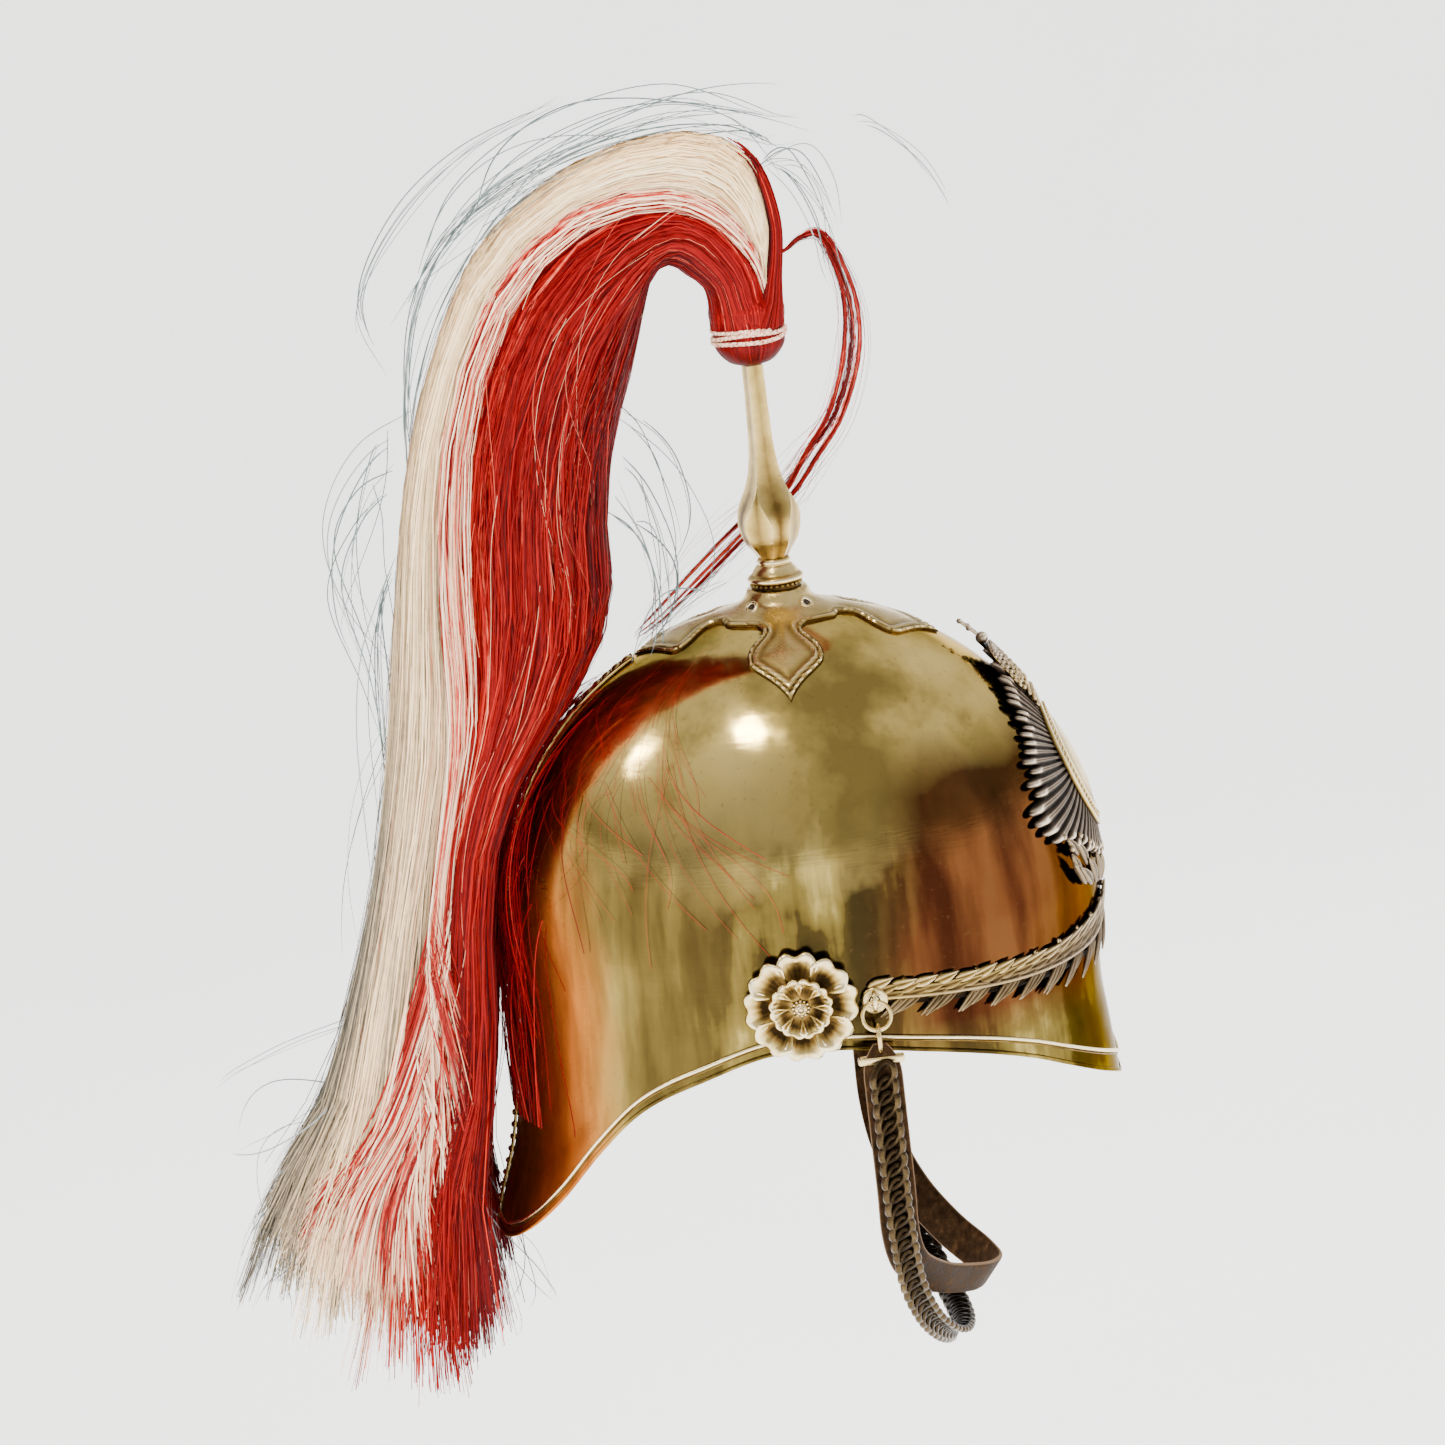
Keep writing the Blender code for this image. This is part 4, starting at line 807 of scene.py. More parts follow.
def inside_outline(points, outline):
    x, y = points[:, 0], points[:, 1]
    inside = np.zeros(len(points), dtype=bool)
    for (x1, y1), (x2, y2) in zip(outline, np.roll(outline, -1, axis=0)):
        crosses = (y1 > y) != (y2 > y)
        with np.errstate(divide="ignore", invalid="ignore"):
            inside ^= crosses & (x < (x2 - x1) * (y - y1) / (y2 - y1) + x1)
    return inside


def flat_sheet(outline, spacing):
    """Triangles that fill an outline evenly: points, faces and each point's distance from the edge."""
    low = outline.min(0)
    high = outline.max(0)
    rows = np.arange(low[1], high[1], spacing * 0.87)
    field = []
    for i, y in enumerate(rows):
        xs = np.arange(low[0] + spacing * 0.5 * (i % 2), high[0], spacing)
        field.append(np.stack([xs, np.full(len(xs), y)], axis=-1))
    field = np.concatenate(field)
    field = field[inside_outline(field, outline)]
    field = field[edge_distance(field, outline) > spacing * 0.45]
    spots = np.concatenate([outline, field])
    ring = [list(range(len(outline)))]
    made = delaunay_2d_cdt([Vector(spot) for spot in spots], [], ring, 1, 1e-7)
    points = np.array([tuple(spot) for spot in made[0]])
    return points, [list(face) for face in made[2]], edge_distance(points, outline)


def beads(centres, radii, normals, sides=8, rings=5):
    """Small round beads: radii holds each one's radius across, and along its normal."""
    turn = once_round(sides)
    tilt = np.linspace(0.0, math.pi, rings + 2)[1:-1]
    ball = [(0.0, 0.0, 1.0)]
    ball += [(math.sin(t) * math.cos(a), math.sin(t) * math.sin(a), math.cos(t)) for t in tilt for a in turn]
    ball.append((0.0, 0.0, -1.0))
    ball = np.array(ball)
    last = len(ball) - 1
    faces = [[0, 1 + j, 1 + (j + 1) % sides] for j in range(sides)]
    faces += grid(rings, sides, closed=True, first=1)
    faces += [[last, last - sides + (j + 1) % sides, last - sides + j] for j in range(sides)]
    points = []
    joined = []
    for centre, radius, normal in zip(centres, radii, normals):
        up = np.asarray(normal, dtype=float)
        side = unit(np.cross(up, (0.3, 0.9, 0.2)))
        other = np.cross(up, side)
        start = len(points) * len(ball)
        flat = (ball[:, :1] * side + ball[:, 1:2] * other) * radius[0]
        points.append(centre + flat + ball[:, 2:] * up * radius[1])
        joined += [[index + start for index in face] for face in faces]
    tops = np.tile(ball[:, 2] * 0.5 + 0.5, len(points))
    return np.concatenate(points), joined, tops


def join(parts):
    """One mesh from several (points, faces, painted) parts."""
    points = []
    faces = []
    painted = []
    start = 0
    for part_points, part_faces, part_paint in parts:
        part_points = np.asarray(part_points).reshape(-1, 3)
        points.append(part_points)
        faces += [[index + start for index in face] for face in part_faces]
        painted.append(np.broadcast_to(part_paint, (len(part_points),)))
        start += len(part_points)
    return np.concatenate(points), faces, np.concatenate(painted)


def torus(centre, axis, radius, wire, around, sides):
    axis = unit(np.asarray(axis, dtype=float))
    first = unit(np.cross(axis, (0.31, 0.22, 0.93)))
    second = np.cross(axis, first)
    turn = once_round(around)
    route = np.asarray(centre) + radius * (np.cos(turn)[:, None] * first + np.sin(turn)[:, None] * second)
    return sweep(route, round_section(wire, sides), closed=True)


def make_shell(finish):
    """The shell as one smooth sheet with a rolled lower edge."""
    columns = 144
    dome_rows = 34
    wall_rows = 34
    angle = once_round(columns)
    rows = []
    for i in range(dome_rows + 1):
        tilt = max(math.pi / 2.0 * i / dome_rows, 0.004)
        rows.append(skull_point(angle, np.full(columns, DOME_BASE + DOME_RISE * math.cos(tilt))))
    edge = rim_height(angle)
    for i in range(1, wall_rows + 1):
        rows.append(skull_point(angle, DOME_BASE + (edge - DOME_BASE) * i / wall_rows))
    points = np.concatenate(rows)
    faces = turned_over(grid(len(rows), columns, closed=True))
    faces.append(list(range(columns)))
    obj = piece("shell", points, faces, finish, ("skull",))
    face_outward(obj, len(faces) // 4)
    thicken(obj, SKULL_WALL)
    angle = once_round(240)
    roll = lay(angle, rim_height(angle) + 0.0004, 0.0001)
    points, faces = sweep(roll, round_section(0.0009, 8), closed=True)
    piece("rolled_edge", points, faces, finish)


def make_rim_wire(finish):
    """One round wire half sunk in the shell, with a finer one under it."""
    angle = once_round(300)
    ahead = np.clip(np.cos(angle), 0.0, 1.0) ** 2
    height = rim_height(angle) + RIM_WIRE_ABOVE_EDGE + 0.0035 * ahead
    route = lay(angle, height, 0.0006)
    wire, wire_faces = sweep(route, round_section(RIM_WIRE_RADIUS), closed=True)
    rope = lay(angle, height - 0.0015, 0.0001)
    fine, fine_faces = sweep(rope, round_section(0.00035, 6), closed=True)
    points, faces, raised = join([(wire, wire_faces, 0.95), (fine, fine_faces, 0.25)])
    piece("rim_moulding", points, faces, finish, ("rim_beading",), {"relief": raised})


def back_seam(count):
    """Even steps down the middle of the back, from the crown plate to the rim."""
    start = math.asin((LEAF_REACH - SKULL_SET_BACK) / SKULL_HALF_LENGTH)
    dome = DOME_BASE + DOME_RISE * np.cos(np.linspace(start, math.pi / 2.0, 200))
    wall = np.linspace(DOME_BASE, rim_height(math.pi) + STRIP_ABOVE_EDGE, 200)
    heights = np.concatenate([dome, wall[1:]])
    run = run_along(skull_point(np.full(len(heights), math.pi), heights))
    return np.interp(np.linspace(0.0, run[-1], count), run, heights), run[-1]


def strip_half_width(steps):
    return 0.0042 - 0.0017 * np.linspace(0.0, 1.0, steps)


def make_back_strip(finish):
    """A strip with raised borders and a row of oval beads between them."""
    steps = 160
    heights, length = back_seam(steps)
    half = strip_half_width(steps)
    profile = ((-1.0, 0.0001), (-1.0, 0.0010), (-0.86, 0.0014), (-0.70, 0.0011), (-0.62, 0.0005))
    profile += tuple((-side, up) for side, up in reversed(profile))
    rows = []
    for side, up in profile:
        spots = lay(np.full(steps, math.pi), heights, up + 0.0002)
        spots[:, 0] = side * half
        rows.append(spots)
    points = np.stack(rows, axis=1).reshape(-1, 3)
    raised = np.tile([0.2, 0.7, 1.0, 0.6, 0.15, 0.15, 0.6, 1.0, 0.7, 0.2], steps)
    strip = (points, grid(steps, len(profile)), raised)
    count = round(length / STRIP_BEAD_PITCH)
    heights, _ = back_seam(count * 2 + 1)
    spots = lay(np.full(count, math.pi), heights[1::2], 0.0010)
    beyond = lay(np.full(count, math.pi), heights[1::2], 0.0030)
    radii = [(width, 0.0017) for width in strip_half_width(count) * 0.60]
    points, faces, raised = join([strip, beads(spots, radii, unit(beyond - spots), 12, 6)])
    piece("back_seam_strip", points, faces, finish, ("back_strip",), {"relief": raised}, 50)


# Half outline of a crown plate leaf in millimetres: along from the spike, and to the side. A doubled row is a
# corner. The notch between two leaves follows.
LEAF_OUTLINE = (
    (27.2, 8.2),
    (29.0, 8.0),
    (31.5, 8.7),
    (34.5, 11.0),
    (38.5, 14.0),
    (43.0, 15.6),
    (47.0, 14.9),
    (51.0, 11.3),
    (55.0, 6.9),
    (59.0, 3.0),
    (63.0, 0.0),
    (63.0, 0.0),
)
LEAF_NOTCH = ((24.0, 10.5), (24.0, 10.5), (22.6, 14.0), (19.6, 19.6), (19.6, 19.6))

# Moulding round the crown plate, by millimetres in from its edge: height and brightness
LEAF_MOULDING = curve_through(
    (
        (0.0, 0.20, 0.30),
        (0.35, 0.95, 0.80),
        (0.80, 1.35, 1.00),
        (1.30, 0.95, 0.60),
        (1.70, 0.35, 0.10),
        (2.20, 0.30, 0.15),
        (2.80, 0.95, 0.80),
        (3.30, 1.15, 1.00),
        (3.90, 0.70, 0.45),
        (4.60, 0.45, 0.35),
        (7.00, 0.75, 0.55),
        (12.0, 1.10, 0.60),
        (30.0, 1.10, 0.60),
    )
)

# Cap over the middle of the crown plate: share of the core radius and of the cap's height
CAP = curve_through(
    (
        (0.00, 1.00),
        (0.40, 1.00),
        (0.445, 0.96),
        (0.47, 0.72),
        (0.52, 0.42),
        (0.62, 0.18),
        (0.80, 0.04),
        (1.00, 0.00),
        (4.0, 0.0),
    )
)


def crown_plate_outline():
    """Four leaves with a notch between each pair. The front and back leaves are broader."""
    arms = (((0.0, -1.0), (1.0, 0.0), 1.42, 1.03), ((1.0, 0.0), (0.0, 1.0), 1.0, 1.0))
    arms += (((0.0, 1.0), (-1.0, 0.0), 1.42, 0.98), ((-1.0, 0.0), (0.0, -1.0), 1.0, 1.0))
    points = []
    for ahead, across, broad, long in arms:
        ahead = np.array(ahead)
        across = np.array(across)
        half = [(a * (1.0 + (long - 1.0) * (a - 27.0) / 36.0), s * broad) for a, s in LEAF_OUTLINE]
        near = [(a, s * (1.0 + (broad - 1.0) * 0.6)) for a, s in LEAF_NOTCH[:3]]
        corner = list(LEAF_NOTCH[3:])
        right = [ahead * a - across * s for a, s in corner[:1] + near[::-1] + half]
        left = [ahead * a + across * s for a, s in half[-2::-1] + near + corner[:1]]
        points += right + left[1:]
    return smooth_outline(np.array(points) / 1000.0, 5)


def make_crown_plate(finish, black):
    """The four leaves over their cap, with a vent eyelet between each pair."""
    outline = crown_plate_outline()
    flat, faces, inward = flat_sheet(outline, 0.0011)
    reach = np.linalg.norm(flat, axis=-1) / PLATE_CORE_RADIUS
    moulding = LEAF_MOULDING(inward * 1000.0, 1) / 1000.0
    calm = np.clip((reach - 0.85) * 5.0, 0.0, 1.0)
    height = PLATE_LIFT + CAP(reach) * CAP_HEIGHT + moulding * calm + (1.0 - calm) * 0.0009
    raised = LEAF_MOULDING(inward * 1000.0, 2) * calm + (1.0 - calm) * 0.62
    points = over_dome(flat[:, 0], flat[:, 1], height)
    foot = over_dome(outline[:, 0], outline[:, 1], np.full(len(outline), 0.0001))
    rim = over_dome(outline[:, 0], outline[:, 1], np.full(len(outline), PLATE_LIFT + 0.0002))
    skirt = grid(2, len(outline), closed=True)
    points, faces, raised = join([(points, faces, raised), (np.concatenate([rim, foot]), skirt, 0.2)])
    piece("crown_plate_leaves", points, faces, finish, ("crown_plate",), {"relief": raised}, 60)
    rings = []
    holes = []
    for k in range(4):
        turn = math.pi / 4.0 + math.pi / 2.0 * k
        x = np.array([EYELET_REACH * math.cos(turn)])
        y = np.array([EYELET_REACH * math.sin(turn)])
        proud = PLATE_LIFT + CAP(np.array([EYELET_CAP_SHARE])) * CAP_HEIGHT + 0.0009
        spot = over_dome(x, y, proud)[0]
        out = unit(np.array([math.cos(turn), math.sin(turn), 0.95]))
        rings.append((*torus(spot, out, EYELET_RADIUS, EYELET_WIRE, 32, 10), 0.95))
        holes.append(beads([spot], [(0.0021, 0.0004)], [out], 16, 4))
    points, faces, raised = join(rings)
    piece("vent_eyelets", points, faces, finish, (), {"relief": raised})
    points, faces, _ = join(holes)
    piece("vent_holes", points, faces, black)


def make_collar(finish):
    """Turned rings under the spike, with a dark groove over the cap."""
    profile = (
        (0.0100, 0.1738, 0.10),
        (0.0100, 0.1752, 0.05),
        (0.0103, 0.1764, 0.10),
        (0.0113, 0.1769, 0.55),
        (0.0119, 0.1777, 1.00),
        (0.0117, 0.1787, 0.80),
        (0.0106, 0.1796, 0.45),
        (0.0098, 0.1803, 0.60),
        (0.0089, 0.1818, 0.70),
        (0.0078, 0.1832, 0.75),
        (0.0070, 0.1841, 0.60),
        (0.0072, 0.1850, 0.90),
        (0.0069, 0.1859, 0.80),
        (0.0058, 0.1866, 0.30),
        (0.0010, 0.1867, 0.30),
    )
    fine = curve_through([(i, *row) for i, row in enumerate(profile)])
    place = np.linspace(0.0, len(profile) - 1.0, 70)
    around = 72
    points, faces = turned(np.stack([fine(place, 1), fine(place, 2)], axis=-1), around)
    raised = np.repeat(np.clip(fine(place, 3), 0.0, 1.0), around)
    piece("turned_collar", points, faces, finish, ("spike_collar",), {"relief": raised})
    count = 28
    ring = np.arange(count) * math.pi / (count / 2.0)
    centres = [(0.0104 * math.cos(a), 0.0104 * math.sin(a), 0.1757) for a in ring]
    points, faces, tops = beads(centres, [(0.00075, 0.00075)] * count, [(0.0, 0.0, 1.0)] * count, 6, 3)
    piece("collar_beading", points, faces, finish, (), {"relief": tops * 0.5})


# Spike by height: half widths of the upper faces and of the lower faces between them
SPIKE = curve_through(
    (
        (0.00, 0.45, 0.45),
        (0.03, 0.56, 0.55),
        (0.08, 0.78, 0.74),
        (0.14, 0.92, 0.85),
        (0.20, 0.96, 0.91),
        (0.25, 0.88, 0.93),
        (0.30, 0.72, 0.88),
        (0.36, 0.54, 0.74),
        (0.43, 0.42, 0.60),
        (0.52, 0.345, 0.50),
        (0.75, 0.285, 0.42),
        (1.00, 0.265, 0.39),
    )
)


def make_spike(finish):
    """Four long upper faces, and four pointed lower faces on the corners between them."""
    rows = 120
    around = 16
    points = []
    raised = []
    for share in np.linspace(0.0, 1.0, rows):
        upper = float(SPIKE(share, 1)) * SPIKE_HALF_WIDTH
        lower = float(SPIKE(share, 2)) * SPIKE_HALF_WIDTH
        corner = float(np.clip(math.sqrt(2.0) * lower - upper, 0.0, upper))
        wide = min(upper, math.sqrt(2.0) * lower)
        for k in range(4):
            turn = k * math.pi / 2.0 + SPIKE_TURN
            ahead = np.array([math.cos(turn), math.sin(turn)])
            across = np.array([-math.sin(turn), math.cos(turn)])
            nook = math.sqrt(0.5) * lower if corner < upper else upper
            for forward, side in ((wide, -corner), (wide, 0.0), (wide, corner), (nook, nook)):
                flat = ahead * forward + across * side
                points.append((*flat, SPIKE_FOOT + share * SPIKE_HEIGHT))
                # Painted shade: the middle of each upper face is darkened where the spike swells near its foot.
                face_shade = 0.22 * max(0.0, 1.0 - abs(share - 0.2) * 6.0) * (side == 0.0)
                raised.append(0.34 + 0.30 * (abs(side) == corner) - face_shade)
    faces = turned_over(grid(rows, around, closed=True))
    faces.append(end_caps(rows, around)[1])
    obj = piece("four_sided_spike", points, faces, finish, ("spike",), {"relief": raised}, 14)
    face_outward(obj, 100)


def ribbons(name, lines, outward, widths, tones, finish, stands_for=()):
    """Flat hairs: lines is hairs by steps by 3, and each hair lies square to its outward direction."""
    hairs, steps, _ = lines.shape
    ahead = np.gradient(lines, axis=1)
    side = unit(np.cross(ahead, outward))
    half = side * widths[..., None] / 2.0
    points = np.stack([lines - half, lines + half], axis=2).reshape(-1, 3)
    start = (np.arange(hairs)[:, None] * steps + np.arange(steps - 1)) * 2
    faces = np.stack([start, start + 1, start + 3, start + 2], axis=-1).reshape(-1, 4)
    mesh = bpy.data.meshes.new(name)
    mesh.vertices.add(len(points))
    mesh.vertices.foreach_set("co", points.astype(np.float32).ravel())
    mesh.loops.add(faces.size)
    mesh.loops.foreach_set("vertex_index", faces.astype(np.int32).ravel())
    mesh.polygons.add(len(faces))
    mesh.polygons.foreach_set("loop_start", np.arange(0, faces.size, 4, dtype=np.int32))
    mesh.update(calc_edges=True)
    along = np.broadcast_to(np.linspace(0.0, 1.0, steps)[None, :, None], (hairs, steps, 2))
    tone = np.broadcast_to(np.asarray(tones).reshape(hairs, -1, 1), (hairs, steps, 2))
    settle(mesh, name, finish, stands_for, {"tone": tone, "along": along}, None)


def hair_band(colour, place):
    """The share of the plume's depth that one colour takes at a place, from the inner side to the outer."""
    split = PLUME(place, 6)
    cover = np.interp(place, (-1.0, -0.3, 0.3, 1.0, 2.0, 3.2), (0.60, 0.32, 0.20, 0.12, 0.05, 0.0))
    if colour == "all":
        return np.zeros_like(place), np.ones_like(place)
    if colour == "red":
        return np.zeros_like(place), split + 0.2 * np.interp(place, (-1.0, -0.2), (1.0, 0.0)) - 0.004
    if colour == "white":
        return split + 0.004, np.maximum(1.0 - cover, split + 0.02)
    if colour == "cover":
        return 1.0 - cover - 0.01, np.ones_like(place)
    return split - 0.14, split + 0.10


def plume_edges(place):
    """The plume's inner and outer line at places down it."""
    inner = np.stack([np.zeros_like(place), PLUME(place, 1), PLUME(place, 2)], axis=-1)
    outer = np.stack([np.zeros_like(place), PLUME(place, 3), PLUME(place, 4)], axis=-1)
    return inner, outer


def plume_point(colour, place, angle, reach):
    """Points of one colour of the plume: place down it, angle round its section, reach out from its middle."""
    inner, outer = plume_edges(place)
    low, high = hair_band(colour, place)
    middle = inner + (outer - inner) * ((low + high) / 2.0)[..., None]
    depth = (outer - inner) * ((high - low) / 2.0)[..., None]
    round_out = np.interp(np.abs((low + high) / 2.0 - 0.5), (0.0, 0.25, 0.5), (1.0, 0.97, 0.80))
    across = np.stack([PLUME(place, 5) * round_out, np.zeros_like(place), np.zeros_like(place)], axis=-1)
    power = np.interp(place, (0.0, 3.0), (2.0, 2.6))
    flat = 1.0 / (np.abs(np.cos(angle)) ** power + np.abs(np.sin(angle)) ** power) ** (1.0 / power)
    offset = (depth * np.cos(angle)[..., None] + across * np.sin(angle)[..., None]) * (reach * flat)[..., None]
    return middle + offset, offset


def within_reach(lines):
    """Eases the last hairs back, so that none stands far behind the plume."""
    over = np.maximum(lines[..., 1] - HAIR_EASE, 0.0)
    lines[..., 1] = np.minimum(lines[..., 1], HAIR_EASE) + HAIR_ROOM * np.tanh(over / HAIR_ROOM)
    return lines


def grow_plume(name, colour, count, locks, seed, tones, finish, width, stop=None, stands_for=()):
    """Hairs in locks from the binding to the cut ends, which spread and end at their own lengths."""
    dice = np.random.default_rng(seed)
    steps = 27
    lock_angle = dice.uniform(0.0, 2.0 * math.pi, locks)
    lock_reach = 1.0 - dice.random(locks) ** 1.8 * 0.24
    lock_phase = dice.uniform(0.0, 2.0 * math.pi, (locks, 3))
    lock_tone = dice.normal(0.0, 0.13, locks)
    lock_end = dice.normal(0.0, 0.30, locks)
    lock_splay = dice.normal(0.0, 1.0, (locks, 3)) * np.array([0.012, 0.008, 0.004])
    owner = dice.integers(0, locks, count)
    own_angle = lock_angle[owner] + dice.normal(0.0, 0.36, count)
    own_reach = np.clip(lock_reach[owner] + dice.normal(0.0, 0.06, count), 0.55, 1.04)
    end = (stop or PLUME_END - 0.35) + lock_end[owner] + dice.normal(0.0, 0.075, count)
    end = np.where(dice.random(count) < 0.12, end - dice.uniform(0.2, 2.4, count), end)
    start = dice.uniform(-1.0, -0.96, count)
    if colour in ("white", "seam"):
        start = start + dice.uniform(0.45, 0.75, count)
    share = np.linspace(0.0, 1.0, steps)
    place = start[:, None] + (end - start)[:, None] * share**1.4
    clump = np.interp(place, (0.0, 2.0, 6.0, 12.0, 14.4, 16.0), (0.0, 0.10, 0.36, 0.58, 0.70, 0.55))
    centre = lock_angle[owner][:, None]
    free = np.clip(place / 3.0, 0.0, 1.0)
    wander = 0.10 * np.sin(place * 0.55 + lock_phase[owner, 0][:, None])
    wander += 0.05 * np.sin(place * 1.3 + lock_phase[owner, 1][:, None])
    shiver = dice.normal(0.0, 0.045, count)[:, None]
    wander += shiver * np.sin(place * 1.7 + dice.uniform(0, 6.3, count)[:, None])
    angle = centre + (own_angle[:, None] - centre) * (1.0 - clump) + wander * free
    reach = lock_reach[owner][:, None] + (own_reach - lock_reach[owner])[:, None] * (1.0 - clump * 0.7)
    reach = reach + 0.035 * np.sin(place * 0.9 + lock_phase[owner, 2][:, None]) * free
    flying = dice.random(count) < 0.03
    leaves = dice.uniform(2.0, 13.0, count)
    lift = np.clip(place - leaves[:, None], 0.0, 3.0) * dice.uniform(0.02, 0.07, count)[:, None]
    reach = reach + flying[:, None] * lift
    if colour in ("white", "seam"):
        reach = reach * np.interp(place, (-1.0, 0.1, 0.9), (0.40, 0.72, 1.0))
    lines, offset = plume_point(colour, place, angle, reach)
    spread = np.clip((place - CUT_ENDS) / (PLUME_END - CUT_ENDS), 0.0, 1.1)[..., None] ** 2
    loose = dice.normal(0.0, 1.0, (count, 3)) * np.array([0.0070, 0.0040, 0.0022])
    lines = lines + spread * (lock_splay[owner][:, None] + loose[:, None])
    lines = within_reach(keep_off_shell(lines))
    tilt = unit(offset) + dice.normal(0.0, 0.35, (count, 1, 3))
    taper = np.interp(share, (0.0, 0.06, 0.9, 1.0), (0.6, 1.0, 0.95, 0.65))
    widths = width * taper * dice.uniform(0.5, 1.45, count)[:, None]
    tone = tones(dice, place, angle) + lock_tone[owner][:, None]
    ribbons(name, lines, tilt, widths, np.clip(tone, 0.0, 1.0), finish, stands_for)


def keep_off_shell(lines):
    """Hair that would sink into the shell or neck guard is moved out to lie on it."""
    across, back, height = lines[..., 0], lines[..., 1], lines[..., 2]
    angle = np.arctan2(-across / SKULL_HALF_WIDTH, -(back - SKULL_SET_BACK) / SKULL_HALF_LENGTH)
    edge = rim_height(angle)
    share = skull_share(angle, np.maximum(height, edge))
    reach = np.hypot(across / SKULL_HALF_WIDTH, (back - SKULL_SET_BACK) / SKULL_HALF_LENGTH)
    clear = share + 0.030
    beside = (height > edge - 0.004) & (height < DOME_BASE + DOME_RISE) & (reach < clear)
    grow = np.where(beside, clear / np.maximum(reach, 0.05), 1.0)
    moved = lines.copy()
    moved[..., 0] = across * grow
    moved[..., 1] = SKULL_SET_BACK + (back - SKULL_SET_BACK) * grow
    return moved


def plume_bed(name, colour, finish):
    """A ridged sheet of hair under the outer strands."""
    rows = 60
    sides = 84
    place = np.repeat(np.linspace(0.2, PLUME_END - 1.6, rows), sides)
    angle = np.tile(once_round(sides), rows)
    ridges = 0.014 * np.sin(angle * 17.0 + place * 0.3) + 0.010 * np.sin(angle * 31.0 + 1.7 + place * 0.2)
    points, _ = plume_point(colour, place, angle, 0.87 + ridges)
    points = within_reach(keep_off_shell(points))
    faces = grid(rows, sides, closed=True) + end_caps(rows, sides)
    stripe = 0.5 + 0.5 * np.sin(angle * 43.0 + place * 0.5 + 2.0 * np.sin(angle * 7.0))
    tone = (0.42 + 0.28 * stripe) if colour == "white" else (0.05 + 0.30 * stripe)
    piece(name, points, faces, finish, (), {"tone": tone, "along": place / PLUME_END})


def white_tones(dice, place, angle):
    """Cream over the arch, darker at the outer edge and in the lower half."""
    hair = dice.beta(1.5, 3.4, len(place))[:, None] * 0.70
    outside = np.clip(np.cos(angle) - 0.35, 0.0, 1.0)
    return hair + outside * np.interp(place, (1.0, 5.0, 12.0, 15.0), (0.14, 0.60, 0.82, 0.70)) - 0.04


def red_tones(dice, place, angle):
    """Deep red, with paler hairs among it, and dark under the arch."""
    hair = dice.beta(2.6, 3.0, len(place))[:, None] * 0.70
    pale = (dice.random(len(place)) < 0.028)[:, None]
    shadow = np.interp(place, (-1.0, 0.0, 1.0, 4.0, 9.0), (0.02, 0.16, 0.34, 0.40, 0.22))
    return np.where(pale, 0.82, hair - np.clip(-np.cos(angle) - 0.2, 0.0, 1.0) * shadow)


def mixed_tones(dice, place, angle):
    """Cream hairs with red and pink ones among them."""
    hair = dice.random(len(place))
    tone = np.where(hair < 0.40, dice.uniform(0.06, 0.32, len(place)), dice.uniform(0.70, 1.05, len(place)))
    tone = np.where(hair > 0.86, dice.uniform(0.42, 0.60, len(place)), tone)
    return tone[:, None]


def grow_fan(finish):
    """Locks of cream and red that leave the seam of the two colours and fan out over the cut ends."""
    dice = np.random.default_rng(41)
    count = 1900
    locks = 46
    steps = 22
    lock_start = dice.uniform(11.3, 13.0, locks)
    lock_side = dice.choice((-1.0, -1.0, -1.0, 1.0), locks) * dice.uniform(0.92, 1.0, locks)
    lock_aim = dice.uniform(-0.82, 0.60, locks)
    lock_root = dice.normal(0.0, 0.05, locks)
    lock_tone = np.where(dice.random(locks) < 0.66, 0.80, 0.22)
    owner = dice.integers(0, locks, count)
    start = lock_start[owner] + dice.normal(0.0, 0.25, count)
    end = PLUME_END - 0.30 + dice.normal(0.0, 0.08, count) - np.abs(dice.normal(0.0, 0.26, locks))[owner]
    place = start[:, None] + (end - start)[:, None] * np.linspace(0.0, 1.0, steps)
    gone = np.clip((place - start[:, None]) / (PLUME_END - 12.2), 0.0, 1.2)
    depth = PLUME(place, 6) + lock_root[owner][:, None]
    depth = depth + (lock_aim[owner] + dice.normal(0.0, 0.055, count))[:, None] * gone**0.95
    depth = np.clip(depth, 0.06, 1.02)
    inner, outer = plume_edges(place)
    lines = inner + (outer - inner) * depth[..., None]
    bulge = np.sqrt(np.clip(1.0 - np.abs(depth * 2.0 - 1.0) ** 2.6, 0.05, 1.0))
    out = lock_side[owner] * (1.0 + dice.normal(0.0, 0.05, count))
    lines[..., 0] = PLUME(place, 5) * bulge * out[:, None] * (1.02 + 0.14 * gone)
    lines = within_reach(keep_off_shell(lines))
    outward = np.stack([np.sign(lines[..., 0]), np.zeros_like(place), np.zeros_like(place)], axis=-1)
    outward = outward + dice.normal(0.0, 0.35, (count, 1, 3))
    taper = np.interp(np.linspace(0, 1, steps), (0, 0.15, 0.85, 1), (0.3, 1, 0.9, 0.4))
    widths = FAN_HAIR_WIDTH * taper * dice.uniform(0.6, 1.5, count)[:, None]
    tone = np.clip(lock_tone[owner] + dice.normal(0.0, 0.13, count), 0.05, 1.0)
    ribbons("fanned_strands", lines, outward, widths, tone, finish)


